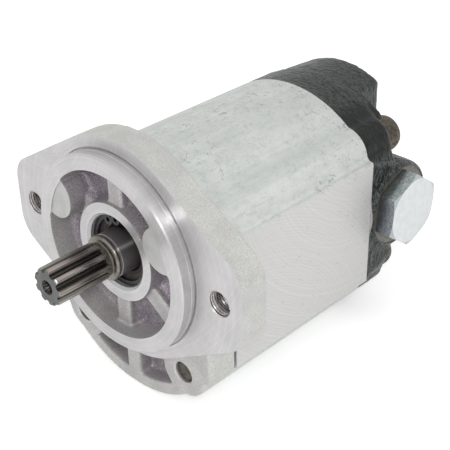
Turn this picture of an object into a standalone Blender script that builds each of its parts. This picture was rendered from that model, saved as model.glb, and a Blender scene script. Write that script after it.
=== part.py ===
"""External gear pump with a two-bolt pilot flange, an extruded body and a cast rear cover.

The drive shaft turns about the Y axis and points to -Y. The flange's mounting face is the
plane y = 0, and the drive axis is x = z = 0. The driven gear lies below it. Lengths are metres.
"""

from math import acos, atan2, copysign, cos, degrees, hypot, pi, radians, sin, sqrt, tan

import bmesh
import bpy
from mathutils import Matrix

MM = 0.001

# Mounting flange, after SAE J744 size A
PILOT_DIAMETER = 82.55 * MM
PILOT_HEIGHT = 6.35 * MM
MOUNT_HOLE_SPACING = 106.4 * MM
MOUNT_THREAD_DIAMETER = 10.0 * MM
THREAD_CHAMFER = 0.6 * MM
PILOT_CHAMFER = 0.6 * MM
FLANGE_THICKNESS = 12.7 * MM
FLANGE_ROUND_RADIUS = 46.6 * MM
EAR_MARGIN = 11.1 * MM
EAR_CORNER_RADIUS = 13.0 * MM
EAR_TAPER = 31.5

# Gears
GEAR_CENTRES = 29.3 * MM
GEAR_TEETH = 12
GEAR_WIDTH = 46.0 * MM
PRESSURE_ANGLE = 25.0
ADDENDUM_FACTOR = 0.9
DEDENDUM_FACTOR = 1.2
FLANK_BACKLASH = 0.12 * MM
TIP_CLEARANCE = 0.12 * MM
SIDE_CLEARANCE = 0.1 * MM

# Shafts, bushes and bearing blocks
JOURNAL_DIAMETER = 18.0 * MM
JOURNAL_CLEARANCE = 0.08 * MM
BUSH_WALL = 1.5 * MM
BLOCK_LENGTH = 17.7 * MM
BLOCK_SIDE_CLEARANCE = 0.1 * MM
BLOCK_END_GAP = 0.3 * MM
SHAFT_EXTENSION = 35.0 * MM
SPLINE_END = 11.0 * MM
SPLINE_TEETH = 9
SPLINE_MAJOR_DIAMETER = 15.5 * MM
SPLINE_MINOR_DIAMETER = 12.2 * MM
SPLINE_PHASE = 2.0
NECK_DIAMETER = 13.8 * MM
COLLAR_DIAMETER = 18.6 * MM
COLLAR_WIDTH = 2.2 * MM
CENTRE_DRILL_DIAMETER = 5.4 * MM
CENTRE_DRILL_DEPTH = 6.0 * MM
SHAFT_CHAMFER = 0.8 * MM
CORE_INSET = 0.4 * MM
CORE_END_INSET = 1.0 * MM
COLLAR_SETBACK = 2.0 * MM
COLLAR_CHAMFER = 0.8 * MM
JOURNAL_RELIEF = 0.4 * MM
JOURNAL_RELIEF_WIDTH = 0.5 * MM
SPLINE_CHAMFER = 1.3 * MM

# Casing outline, shared by both covers and the body
CASE_RADIUS = 51.3 * MM
BOLT_INSET = 9.3 * MM
BOLT_ANGLE = 44.42
BOLT_DROP = 1.0 * MM
BOSS_RADIUS = 11.5 * MM
LEFT_BOSS_RADIUS = 10.4 * MM
BOSS_FILLET = 2.5 * MM
PAD_HALF_HEIGHT = 29.35 * MM
PAD_SHOULDER = 1.0 * MM
PAD_CORNER = 0.5 * MM
JOINT_GAP = 0.1 * MM
SEAT_GAP = 0.2 * MM

# Front cover
FRONT_COVER_LENGTH = 17.0 * MM
LOWER_FACE_SETBACK = 2.0 * MM
RECESS_RADIUS = 34.85 * MM
RECESS_DEPTH = 11.5 * MM
LAND_DROP = 0.35 * MM
RIB_DROP = 5.6 * MM
RIB_WIDTH = 7.8 * MM
RIB_ANGLES = (90.0, 270.0, 324.0, 216.0)
HUB_RADIUS = 20.4 * MM
HUB_DROP = 3.5 * MM
BOLT_LAND_RADIUS = 9.2 * MM
BOLT_LAND_RISE = 0.9 * MM
LOWER_POCKET_RIM = 5.3 * MM
LOWER_POCKET_DEPTH = 7.0 * MM
LOWER_POCKET_LIP = 0.8 * MM
LOWER_BOSS_RADIUS = 11.4 * MM
PRY_SLOT_WIDTH = 1.4 * MM
PRY_SLOT_DEPTH = 1.5 * MM

# Shaft seal
SEAL_BORE_DIAMETER = 30.4 * MM
SEAL_BORE_DEPTH = 14.2 * MM
SEAL_BORE_CHAMFER = 1.0 * MM
SEAL_WIDTH = 7.0 * MM
SEAL_WALL = 1.5 * MM
SEAL_LIP_FLARE = 1.8 * MM
SEAL_HEEL = 0.8 * MM
LIP_CLEARANCE = 0.1 * MM
GARTER_WIRE = 1.6 * MM
RING_THICKNESS = 1.2 * MM
RING_SETBACK = 2.64 * MM
RING_GROOVE_DEPTH = 0.9 * MM
RING_RADIAL_WIDTH = 2.6 * MM
RING_LUG_RADIUS = 2.3 * MM
RING_LUG_HOLE = 1.0 * MM
RING_OPENING_ANGLE = 108.0
RING_HALF_OPENING = 9.0
RING_LUG_TURN = 1.5
SHAFT_HOLE_CLEARANCE = 1.0 * MM

# Static seals and dowels
BODY_SEAL_SECTION = 1.8 * MM
BODY_SEAL_OFFSET = 1.7 * MM
BLOCK_SEAL_SECTION = 1.6 * MM
BLOCK_SEAL_RADIUS = 13.2 * MM
BLOCK_SEAL_SPLIT = 3.0 * MM
BLOCK_SEAL_END = 105.0
DOWEL_DIAMETER = 6.0 * MM
DOWEL_LENGTH = 11.0 * MM
DOWEL_SEAL_WALL = 3.6 * MM

# Through bolts
BOLT_DIAMETER = 10.0 * MM
BOLT_HEAD_DIAMETER = 16.0 * MM
BOLT_HEAD_HEIGHT = 10.0 * MM
BOLT_SOCKET_FLATS = 8.0 * MM
BOLT_SOCKET_DEPTH = 5.0 * MM
BOLT_TIP_INSET = 7.0 * MM
BOLT_CHAMFER = 0.9 * MM
TAP_RUNOUT = 2.0 * MM
BOLT_HOLE_CLEARANCE = 0.3 * MM
THREAD_CLEARANCE = 0.2 * MM
WASHER_DIAMETER = 18.0 * MM
WASHER_THICKNESS = 1.6 * MM

# Ports
INLET_THREAD_DIAMETER = 26.4 * MM
INLET_THREAD_DEPTH = 17.0 * MM
INLET_CORE_DIAMETER = 20.0 * MM
OUTLET_THREAD_DIAMETER = 21.0 * MM
OUTLET_THREAD_DEPTH = 16.0 * MM
OUTLET_CORE_DIAMETER = 13.0 * MM
OUTLET_HEIGHT = 13.0 * MM
PRESSURE_CHANNEL_DIAMETER = 7.6 * MM
PRESSURE_CHANNEL_X = 13.6 * MM
PORT_CHAMFER = 1.0 * MM
PORT_STEP = 4.0 * MM
OUTLET_DROP_INSET = 1.0 * MM

# Rear cover
REAR_PLATE_THICKNESS = 16.7 * MM
SPOTFACE_DEPTH = 0.2 * MM
HUMP_LENGTH = 19.0 * MM
HUMP_HALF_WIDTH = 21.9 * MM
HUMP_DRAFT = 3.0 * MM
HUMP_INSET = 0.5 * MM
SHOULDER_HALF_WIDTH = 32.0 * MM
SHOULDER_HEIGHT = 5.0 * MM
PAD_FADE_HEIGHT = 5.5 * MM
PAD_FADE_DEPTH = 1.6 * MM
GALLERY_RISE = 2.2 * MM
GALLERY_BACK = 18.5 * MM
GALLERY_RADIUS = 19.8 * MM
GALLERY_CHAMFER = 1.2 * MM
GALLERY_PROUD = 1.0 * MM
GALLERY_LEFT_INSET = 4.0 * MM

# Relief valve and its hexagon plug
PLUG_FLATS = 29.0 * MM
PLUG_HEAD = 7.6 * MM
PLUG_FACE_DIAMETER = 30.0 * MM
PLUG_THREAD_DIAMETER = 21.0 * MM
PLUG_THREAD_LENGTH = 13.0 * MM
PLUG_RING_SECTION = 1.8 * MM
PLUG_RUNOUT = 2.0 * MM
PLUG_TURN = 84.0
PLUG_CHAMFER_ANGLE = 30.0
PLUG_THREAD_CHAMFER = 1.0 * MM
VALVE_BORE_DIAMETER = 17.0 * MM
VALVE_CHAMBER_DIAMETER = 14.0 * MM
VALVE_SEAT_LENGTH = 4.0 * MM
VALVE_SEAT_HOLE = 7.0 * MM
POPPET_DIAMETER = 12.6 * MM
POPPET_FLANGE = 2.0 * MM
POPPET_SPIGOT_DIAMETER = 6.4 * MM
POPPET_SPIGOT_LENGTH = 4.0 * MM
POPPET_NOSE_INSET = 1.5 * MM
SEAT_WALL = 1.2 * MM
SPRING_WIRE = 1.4 * MM
SPRING_TURNS = 6
SPRING_SOLID_WALL = 5.0 * MM

# Derived places along the Y axis
BODY_FRONT = FRONT_COVER_LENGTH + JOINT_GAP
FRONT_BLOCK_START = FRONT_COVER_LENGTH + BLOCK_END_GAP
GEAR_START = FRONT_BLOCK_START + BLOCK_LENGTH + SIDE_CLEARANCE
GEAR_END = GEAR_START + GEAR_WIDTH
REAR_BLOCK_START = GEAR_END + SIDE_CLEARANCE
REAR_COVER_START = REAR_BLOCK_START + BLOCK_LENGTH + BLOCK_END_GAP
BODY_REAR = REAR_COVER_START - JOINT_GAP
REAR_PLATE_END = REAR_COVER_START + REAR_PLATE_THICKNESS
HUMP_END = REAR_PLATE_END + HUMP_LENGTH
SCREW_SEAT = REAR_PLATE_END - SPOTFACE_DEPTH
GEAR_MIDDLE = (GEAR_START + GEAR_END) / 2

# Derived sizes of the casing
CASE_CENTRE_Z = -GEAR_CENTRES / 2
BOLT_X = (CASE_RADIUS - BOLT_INSET) * cos(radians(BOLT_ANGLE))
BOSS_Z = (CASE_RADIUS - BOLT_INSET) * sin(radians(BOLT_ANGLE))
FILLET_RISE = PAD_HALF_HEIGHT + BOSS_FILLET - BOSS_Z
CASE_HALF_WIDTH = BOLT_X + sqrt((BOSS_RADIUS + BOSS_FILLET) ** 2 - FILLET_RISE**2) + PAD_SHOULDER
UPPER_BOLT_Z = CASE_CENTRE_Z - BOLT_DROP + BOSS_Z
LOWER_BOLT_Z = CASE_CENTRE_Z - BOLT_DROP - BOSS_Z
BOLT_PLACES = {
    "upper_right": (BOLT_X, UPPER_BOLT_Z),
    "upper_left": (-BOLT_X, UPPER_BOLT_Z),
    "lower_right": (BOLT_X, LOWER_BOLT_Z),
    "lower_left": (-BOLT_X, LOWER_BOLT_Z),
}

# Derived places of the shaft seal and its ring
SEAL_MOUTH = HUB_DROP - PILOT_HEIGHT
RING_GROOVE_START = SEAL_MOUTH + RING_SETBACK
FRONT_JOINT = (FRONT_COVER_LENGTH + BODY_FRONT) / 2
REAR_JOINT = (REAR_COVER_START + BODY_REAR) / 2

# Derived sizes of the gears, their bores and the valve
MODULE = GEAR_CENTRES / GEAR_TEETH
GEAR_TIP_RADIUS = GEAR_CENTRES / 2 + ADDENDUM_FACTOR * MODULE
GEAR_ROOT_RADIUS = GEAR_CENTRES / 2 - DEDENDUM_FACTOR * MODULE
GEAR_BORE_RADIUS = GEAR_TIP_RADIUS + TIP_CLEARANCE
JOURNAL_RADIUS = JOURNAL_DIAMETER / 2
BUSH_RADIUS = JOURNAL_RADIUS + JOURNAL_CLEARANCE + BUSH_WALL
BODY_SEAL_RADIUS = GEAR_BORE_RADIUS + BODY_SEAL_OFFSET + BODY_SEAL_SECTION / 2
BODY_SEAL_REACH = GEAR_CENTRES / 2 + BODY_SEAL_RADIUS + BODY_SEAL_SECTION / 2
DOWEL_HEIGHT = BODY_SEAL_REACH + DOWEL_SEAL_WALL + DOWEL_DIAMETER / 2
GALLERY_Y = REAR_COVER_START + GALLERY_BACK
GALLERY_Z = CASE_CENTRE_Z + GALLERY_RISE
GALLERY_FACE = CASE_HALF_WIDTH + GALLERY_PROUD
PLUG_UNDERSIDE = GALLERY_FACE + SEAT_GAP
PLUG_INNER_END = PLUG_UNDERSIDE - PLUG_THREAD_LENGTH
PLUG_BORE_END = PLUG_UNDERSIDE - SPRING_SOLID_WALL
VALVE_SEAT_START = PRESSURE_CHANNEL_X + PRESSURE_CHANNEL_DIAMETER / 2 + SEAT_WALL
VALVE_SEAT_END = VALVE_SEAT_START + VALVE_SEAT_LENGTH
POPPET_CONE_END = VALVE_SEAT_END + (POPPET_DIAMETER - VALVE_SEAT_HOLE) / 2 + SEAT_GAP
SPRING_START = POPPET_CONE_END + POPPET_FLANGE + SEAT_GAP
SPRING_END = PLUG_BORE_END - SEAT_GAP
SPRING_RADIUS = (POPPET_SPIGOT_DIAMETER + SPRING_WIRE) / 2 + SEAT_GAP

OVERCUT = 1.0 * MM


def clear_scene():
    for obj in list(bpy.data.objects):
        bpy.data.objects.remove(obj, do_unlink=True)


def new_collection(name, hidden=False):
    collection = bpy.data.collections.new(name)
    bpy.context.scene.collection.children.link(collection)
    collection.hide_render = hidden
    return collection


clear_scene()
PUMP = new_collection("gear_pump")
CUTTERS = new_collection("cutters", hidden=True)


def material(name, colour, metallic, roughness):
    """A plain Principled material."""
    made = bpy.data.materials.new(name)
    made.use_nodes = True
    shader = made.node_tree.nodes["Principled BSDF"]
    shader.inputs["Base Color"].default_value = (*colour, 1.0)
    shader.inputs["Metallic"].default_value = metallic
    shader.inputs["Roughness"].default_value = roughness
    made.diffuse_color = (*colour, 1.0)
    return made


FINISHES = {
    "cast_aluminium": ((0.62, 0.62, 0.60), 0.9, 0.45),
    "extruded_aluminium": ((0.68, 0.70, 0.69), 0.9, 0.40),
    "black_cast_iron": ((0.02, 0.02, 0.02), 0.1, 0.55),
    "hardened_steel": ((0.18, 0.17, 0.16), 0.9, 0.30),
    "bearing_aluminium": ((0.60, 0.58, 0.54), 0.9, 0.35),
    "bearing_bronze": ((0.45, 0.28, 0.12), 0.9, 0.35),
    "nitrile_rubber": ((0.015, 0.015, 0.015), 0.0, 0.60),
    "spring_steel": ((0.10, 0.10, 0.10), 0.9, 0.35),
    "zinc_plate": ((0.66, 0.69, 0.70), 0.9, 0.30),
    "bolt_steel": ((0.16, 0.13, 0.10), 0.8, 0.45),
}


def finish(obj, kind):
    """Gives a piece its own material."""
    obj.data.materials.clear()
    obj.data.materials.append(material(obj.name, *FINISHES[kind]))


def place(obj, kind=None):
    """Puts a piece in the pump's collection, or a cutter in the hidden one."""
    for holder in list(obj.users_collection):
        holder.objects.unlink(obj)
    if kind is None:
        CUTTERS.objects.link(obj)
        obj.hide_render = True
        obj.display_type = "WIRE"
    else:
        PUMP.objects.link(obj)
        finish(obj, kind)
    return obj


def smooth(obj):
    obj.data.shade_smooth()
    obj.data.set_sharp_from_angle(angle=radians(30))


def boolean(obj, other, operation):
    modifier = obj.modifiers.new(f"{operation.lower()}_{other.name}", "BOOLEAN")
    modifier.operation = operation
    modifier.solver = "EXACT"
    modifier.object = other


def cut(obj, *cutters):
    for cutter in cutters:
        boolean(obj, cutter, "DIFFERENCE")


def join(obj, *others):
    for other in others:
        boolean(obj, other, "UNION")


def arc(centre, radius, start, end, steps):
    """Points along an arc in the XZ plane, both ends included. Angles are degrees from +X."""
    points = []
    for step in range(steps + 1):
        angle = radians(start + (end - start) * step / steps)
        points.append((centre[0] + radius * cos(angle), centre[1] + radius * sin(angle)))
    return points


def circle(centre, radius, segments=32):
    return arc(centre, radius, 0, 360, segments)[:-1]


def mirrored_round(quadrant, left_quadrant=None):
    """A closed outline from its first quadrant, which runs clockwise from +Z to +X."""
    right = quadrant + [(x, -z) for x, z in reversed(quadrant)]
    left = left_quadrant or quadrant
    left = [(-x, -z) for x, z in left] + [(-x, z) for x, z in reversed(left)]
    points = right + left
    return [point for i, point in enumerate(points) if distance(point, points[i - 1]) > OVERCUT / 1000]


def distance(first, second):
    return hypot(first[0] - second[0], first[1] - second[1])


def moved(outline, dx, dz):
    return [(x + dx, z + dz) for x, z in outline]


def plate(name, outlines, start, end, kind=None):
    """A flat plate across the Y axis. Outlines inside the first one are holes."""
    curve = bpy.data.curves.new(name, "CURVE")
    curve.dimensions = "2D"
    curve.fill_mode = "BOTH"
    curve.extrude = (end - start) / 2
    for outline in outlines:
        spline = curve.splines.new("POLY")
        spline.points.add(len(outline) - 1)
        for point, (x, z) in zip(spline.points, outline):
            point.co = (x, z, 0, 1)
        spline.use_cyclic_u = True
    helper = bpy.data.objects.new(f"{name}_curve", curve)
    bpy.context.scene.collection.objects.link(helper)
    graph = bpy.context.evaluated_depsgraph_get()
    mesh = bpy.data.meshes.new_from_object(helper.evaluated_get(graph))
    mesh.transform(Matrix.Translation((0, (start + end) / 2, 0)) @ Matrix.Rotation(pi / 2, 4, "X"))
    bpy.data.objects.remove(helper, do_unlink=True)
    tidy_mesh(mesh)
    obj = bpy.data.objects.new(name, mesh)
    mesh.name = name
    return place(obj, kind)


def tidy_mesh(mesh):
    """Welds the caps to the sides and turns every face outwards."""
    shape = bmesh.new()
    shape.from_mesh(mesh)
    bmesh.ops.remove_doubles(shape, verts=shape.verts, dist=1e-7)
    bmesh.ops.recalc_face_normals(shape, faces=shape.faces)
    shape.to_mesh(mesh)
    shape.free()


def split_faces(obj):
    """Splits every face into triangles, so that bent faces can be cut cleanly."""
    shape = bmesh.new()
    shape.from_mesh(obj.data)
    bmesh.ops.triangulate(shape, faces=shape.faces)
    shape.to_mesh(obj.data)
    shape.free()


AXIS_TURNS = {
    "Y": Matrix.Rotation(-pi / 2, 4, "X"),
    "X": Matrix.Rotation(pi / 2, 4, "Y"),
    "Z": Matrix.Identity(4),
}


def turned(name, profile, axis="Y", centre=(0, 0, 0), segments=32, kind=None, closed=False):
    """A turned piece. The profile lists (radius, height along the axis), down the outer side."""
    mesh = bpy.data.meshes.new(name)
    count = len(profile)
    edges = [(i, i + 1) for i in range(count - 1)]
    if closed:
        edges.append((count - 1, 0))
    mesh.from_pydata([(radius, 0, height) for radius, height in profile], edges, [])
    obj = bpy.data.objects.new(name, mesh)
    obj.matrix_world = Matrix.Translation(centre) @ AXIS_TURNS[axis]
    screw = obj.modifiers.new("turn", "SCREW")
    screw.steps = screw.render_steps = segments
    screw.use_merge_vertices = True
    screw.merge_threshold = 1e-6
    screw.use_smooth_shade = True
    return place(obj, kind)


def rod(name, radius, start, end, axis="Y", centre=(0, 0, 0), segments=20, kind=None):
    """A plain cylinder between two heights along an axis.

    It is turned by half a segment, so that its edges never lie on those of a turned piece.
    """
    shape = bmesh.new()
    bmesh.ops.create_cone(
        shape, cap_ends=True, segments=segments, radius1=radius, radius2=radius, depth=end - start
    )
    bmesh.ops.translate(shape, vec=(0, 0, (start + end) / 2), verts=shape.verts)
    bmesh.ops.rotate(shape, cent=(0, 0, 0), matrix=Matrix.Rotation(pi / segments, 3, "Z"), verts=shape.verts)
    mesh = bpy.data.meshes.new(name)
    shape.to_mesh(mesh)
    shape.free()
    obj = bpy.data.objects.new(name, mesh)
    obj.matrix_world = Matrix.Translation(centre) @ AXIS_TURNS[axis]
    return place(obj, kind)


def tube(name, radii, start, end, axis="Y", centre=(0, 0, 0), segments=32, kind=None):
    """A plain ring between an inner and an outer radius."""
    inner, outer = radii
    profile = [(inner, end), (outer, end), (outer, start), (inner, start)]
    return turned(name, profile, axis, centre, segments, kind, closed=True)


def block(name, low, high, turn=0.0, kind=None):
    """A box between two corners, turned about the Y axis through the origin."""
    shape = bmesh.new()
    bmesh.ops.create_cube(shape, size=1.0)
    size = [high[i] - low[i] for i in range(3)]
    middle = [(high[i] + low[i]) / 2 for i in range(3)]
    bmesh.ops.scale(shape, vec=size, verts=shape.verts)
    bmesh.ops.translate(shape, vec=middle, verts=shape.verts)
    bmesh.ops.rotate(shape, cent=(0, 0, 0), matrix=Matrix.Rotation(-radians(turn), 3, "Y"), verts=shape.verts)
    mesh = bpy.data.meshes.new(name)
    shape.to_mesh(mesh)
    shape.free()
    return place(bpy.data.objects.new(name, mesh), kind)


def chamfered_hole(name, radius, mouth, bottom, chamfer, axis="Y", centre=(0, 0, 0), segments=20):
    """A hole cutter with a chamfered mouth. It runs from the mouth to the bottom along the axis."""
    out = 1 if mouth > bottom else -1
    profile = [
        (0, mouth + out * OVERCUT),
        (radius + chamfer + OVERCUT, mouth + out * OVERCUT),
        (radius, mouth - out * chamfer),
        (radius, bottom),
        (0, bottom),
    ]
    return turned(name, profile[::out], axis, centre, segments)


# ---- outlines ----


def case_quadrant(boss):
    """A quarter of the casing's outline: the round top, a bolt boss, its fillet and the pad's edge."""
    boss_distance = hypot(BOLT_X, BOSS_Z)
    spread = acos((CASE_RADIUS**2 + boss_distance**2 - boss**2) / (2 * CASE_RADIUS * boss_distance))
    meet = degrees(atan2(BOSS_Z, BOLT_X) + spread)
    meet_x, meet_z = CASE_RADIUS * cos(radians(meet)), CASE_RADIUS * sin(radians(meet))
    fillet_x = BOLT_X + sqrt((boss + BOSS_FILLET) ** 2 - FILLET_RISE**2)
    fillet_z = PAD_HALF_HEIGHT + BOSS_FILLET
    boss_start = degrees(atan2(meet_z - BOSS_Z, meet_x - BOLT_X))
    boss_end = degrees(atan2(fillet_z - BOSS_Z, fillet_x - BOLT_X))
    quadrant = arc((0, 0), CASE_RADIUS, 90, meet, 6)
    quadrant += arc((BOLT_X, BOSS_Z), boss, boss_start, boss_end, 6)[1:]
    quadrant += arc((fillet_x, fillet_z), BOSS_FILLET, boss_end + 180, 270, 3)[1:]
    quadrant.append((CASE_HALF_WIDTH, PAD_HALF_HEIGHT - PAD_CORNER))
    return quadrant


def case_outline():
    """Outline of the casing. Its left bolt bosses are slimmer than its right ones."""
    outline = mirrored_round(case_quadrant(BOSS_RADIUS), case_quadrant(LEFT_BOSS_RADIUS))
    return moved(outline, 0, CASE_CENTRE_Z)


def flange_outline():
    """Outline of the mounting flange: a round middle and an ear with a flat end each side."""
    half_width = MOUNT_HOLE_SPACING / 2 + EAR_MARGIN
    turn = 90 - EAR_TAPER
    corner_x = half_width - EAR_CORNER_RADIUS
    corner_z = (FLANGE_ROUND_RADIUS - EAR_CORNER_RADIUS - cos(radians(turn)) * corner_x) / sin(radians(turn))
    quadrant = arc((0, 0), FLANGE_ROUND_RADIUS, 90, turn, 8)
    quadrant += arc((corner_x, corner_z), EAR_CORNER_RADIUS, turn, 0, 7)
    return mirrored_round(quadrant)


def figure_eight(radius, steps=24):
    """Outline of two overlapping circles, one about each gear axis."""
    half = GEAR_CENTRES / 2
    opening = degrees(acos(half / radius))
    upper = arc((0, 0), radius, -90 + opening, 270 - opening, steps)
    lower = arc((0, -GEAR_CENTRES), radius, 90 + opening, 450 - opening, steps)
    return upper + lower[1:-1]


def racetrack(radius, steps=16):
    """Outline of a stadium about both gear axes."""
    return arc((0, 0), radius, 0, 180, steps) + arc((0, -GEAR_CENTRES), radius, 180, 360, steps)


def three_outline(radius, width, side_gap, steps=14):
    """Outline of the seal that backs a bearing block, shaped like a figure three."""
    end = BLOCK_SEAL_END
    waist = degrees(acos((GEAR_CENTRES / 2 - side_gap) / (radius + width / 2)))
    outer = arc((0, 0), radius + width / 2, end, waist - 90, steps)
    outer += arc((0, -GEAR_CENTRES), radius + width / 2, 90 - waist, -end, steps)
    inner_waist = degrees(acos((GEAR_CENTRES / 2 - side_gap - width) / (radius - width / 2)))
    inner = arc((0, -GEAR_CENTRES), radius - width / 2, -end, 90 - inner_waist, steps)
    inner += arc((0, 0), radius - width / 2, inner_waist - 90, end, steps)
    return outer + inner


def involute(angle):
    return tan(angle) - angle


def gear_outline(phase):
    """Outline of a spur gear whose first tooth points at the phase angle, in degrees from +X."""
    pitch = GEAR_CENTRES / 2
    base = pitch * cos(radians(PRESSURE_ANGLE))
    half_tooth = pi / (2 * GEAR_TEETH) - FLANK_BACKLASH / 2 / pitch + involute(radians(PRESSURE_ANGLE))
    flank = []
    for step in range(4):
        radius = base + (GEAR_TIP_RADIUS - base) * step / 3
        flank.append((radius, half_tooth - involute(acos(min(1.0, base / radius)))))
    root = (GEAR_ROOT_RADIUS, flank[0][1] + 0.04)
    side = [root] + flank
    points = []
    for tooth in range(GEAR_TEETH):
        middle = radians(phase) + 2 * pi * tooth / GEAR_TEETH
        for radius, half in side:
            points.append((radius * cos(middle - half), radius * sin(middle - half)))
        for radius, half in reversed(side):
            points.append((radius * cos(middle + half), radius * sin(middle + half)))
    return points


def spline_outline():
    """Outline of the drive spline, with flat-sided teeth and rounded lands."""
    top, bottom = SPLINE_MAJOR_DIAMETER / 2, SPLINE_MINOR_DIAMETER / 2
    pitch = 360 / SPLINE_TEETH
    points = []
    for tooth in range(SPLINE_TEETH):
        middle = SPLINE_PHASE + pitch * tooth
        points += arc((0, 0), bottom, middle - pitch * 0.5, middle - pitch * 0.36, 2)
        points += arc((0, 0), top, middle - pitch * 0.17, middle + pitch * 0.17, 2)
        points += arc((0, 0), bottom, middle + pitch * 0.36, middle + pitch * 0.5, 2)[:-1]
    return points


def hexagon(flats, turn=0.0):
    return arc((0, 0), flats / sqrt(3), turn, turn + 360, 6)[:-1]


# ---- covers and body ----


def bolt_cutters(name, radius, start, end):
    return [rod(f"{name}_{key}", radius, start, end, centre=(x, 0, z)) for key, (x, z) in BOLT_PLACES.items()]


def dowel_places():
    return {"upper": CASE_CENTRE_Z + DOWEL_HEIGHT, "lower": CASE_CENTRE_Z - DOWEL_HEIGHT}


def dowel_cutters(name, joint):
    """Blind holes on both sides of a joint plane."""
    reach = DOWEL_LENGTH / 2 + SEAT_GAP
    radius = DOWEL_DIAMETER / 2 + SEAT_GAP
    places = dowel_places().items()
    return [rod(f"{name}_{key}", radius, joint - reach, joint + reach, centre=(0, 0, z)) for key, z in places]


def pilot_boss():
    """The pilot before its recess is cut: a disc with a chamfered front edge."""
    radius = PILOT_DIAMETER / 2
    profile = [
        (0, OVERCUT),
        (radius, OVERCUT),
        (radius, PILOT_CHAMFER - PILOT_HEIGHT),
        (radius - PILOT_CHAMFER, -PILOT_HEIGHT),
        (0, -PILOT_HEIGHT),
    ]
    return turned("pilot", profile, segments=48)


def recess_cutter():
    """The recess inside the pilot. It leaves the bolt lands, the ribs and the hub at their own heights."""
    floor = RECESS_DEPTH - PILOT_HEIGHT
    beyond = floor + OVERCUT
    recess = rod("recess", RECESS_RADIUS, -PILOT_HEIGHT - OVERCUT, floor, segments=48)
    for key in ("upper_right", "upper_left"):
        x, z = BOLT_PLACES[key]
        land = LAND_DROP - PILOT_HEIGHT
        centre = (x, 0, z + BOLT_LAND_RISE)
        cut(recess, rod(f"land_keep_{key}", BOLT_LAND_RADIUS, land, beyond, centre=centre))
    for angle in RIB_ANGLES:
        low = (0, RIB_DROP - PILOT_HEIGHT, -RIB_WIDTH / 2)
        high = (PILOT_DIAMETER, beyond, RIB_WIDTH / 2)
        cut(recess, block(f"rib_keep_{angle:.0f}", low, high, turn=angle))
    cut(recess, rod("hub_keep", HUB_RADIUS, HUB_DROP - PILOT_HEIGHT, beyond, segments=32))
    return recess


def lower_pocket_cutter():
    """Cored pockets in the set-back lower face, on both sides of a web."""
    face = LOWER_FACE_SETBACK
    far = 3 * CASE_RADIUS
    centre = (0, 0, CASE_CENTRE_Z)
    rim = CASE_RADIUS - LOWER_POCKET_RIM
    pocket = rod("lower_pocket", rim, face - OVERCUT, face + LOWER_POCKET_DEPTH, centre=centre, segments=48)
    lip = FLANGE_ROUND_RADIUS + LOWER_POCKET_LIP
    cut(pocket, rod("pocket_flange_keep", lip, -OVERCUT, FLANGE_THICKNESS + OVERCUT, segments=48))
    half_web = RIB_WIDTH / 2
    web = block("pocket_web_keep", (-half_web, -OVERCUT, -far), (half_web, FLANGE_THICKNESS, 0))
    top = block("pocket_top_keep", (-far, -OVERCUT, CASE_CENTRE_Z), (far, FLANGE_THICKNESS, far))
    cut(pocket, web, top)
    for side in (-1, 1):
        bolt = (side * BOLT_X, 0, LOWER_BOLT_Z)
        name = f"pocket_boss_keep_{side}"
        cut(pocket, rod(name, LOWER_BOSS_RADIUS, -OVERCUT, FLANGE_THICKNESS, centre=bolt))
        inner, outer = sorted((side * BOLT_X, side * far))
        low, high = (inner, -OVERCUT, -far), (outer, FLANGE_THICKNESS, 0)
        cut(pocket, block(f"pocket_side_keep_{side}", low, high))
    return pocket


def cut_seal_bore(cover):
    """Bore for the shaft seal, the groove of its retaining ring, and the shaft's hole."""
    bore = SEAL_BORE_DIAMETER / 2
    bottom = SEAL_MOUTH + SEAL_BORE_DEPTH
    groove_end = RING_GROOVE_START + RING_THICKNESS + 2 * SEAT_GAP
    cut(cover, chamfered_hole("seal_bore", bore, SEAL_MOUTH, bottom, SEAL_BORE_CHAMFER, segments=32))
    cut(cover, rod("ring_groove", bore + RING_GROOVE_DEPTH, RING_GROOVE_START, groove_end, segments=32))
    cut(cover, rod("shaft_hole", JOURNAL_RADIUS + SHAFT_HOLE_CLEARANCE, 0, FRONT_COVER_LENGTH + OVERCUT))


def cut_front_threads(cover):
    """Tapped holes, blind for the upper screws and open for the lower screws and the mounting bolts."""
    end = FRONT_COVER_LENGTH + OVERCUT
    thread = BOLT_DIAMETER / 2 + THREAD_CLEARANCE
    for key, (x, z) in BOLT_PLACES.items():
        centre = (x, 0, z)
        if z > CASE_CENTRE_Z:
            cut(cover, rod(f"tapped_{key}", thread, BOLT_TIP_INSET - TAP_RUNOUT, end, centre=centre))
        else:
            face = LOWER_FACE_SETBACK
            cut(cover, chamfered_hole(f"tapped_{key}", thread, face, end, THREAD_CHAMFER, centre=centre))
    for side in (-1, 1):
        centre = (side * MOUNT_HOLE_SPACING / 2, 0, 0)
        through = FLANGE_THICKNESS + OVERCUT
        radius = MOUNT_THREAD_DIAMETER / 2
        cut(cover, chamfered_hole(f"mount_hole_{side}", radius, 0, through, THREAD_CHAMFER, centre=centre))


def cut_pry_slots(cover):
    """A slot in each pad's front edge, where the cover is levered off the body."""
    bottom = CASE_CENTRE_Z - PAD_HALF_HEIGHT - OVERCUT
    top = CASE_CENTRE_Z + PAD_HALF_HEIGHT + OVERCUT
    for side in (-1, 1):
        inner, outer = sorted((side * (CASE_HALF_WIDTH - PRY_SLOT_DEPTH), side * (CASE_HALF_WIDTH + OVERCUT)))
        low = (inner, FRONT_COVER_LENGTH - PRY_SLOT_WIDTH, bottom)
        high = (outer, FRONT_COVER_LENGTH + OVERCUT, top)
        cut(cover, block(f"pry_slot_{side}", low, high))


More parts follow.
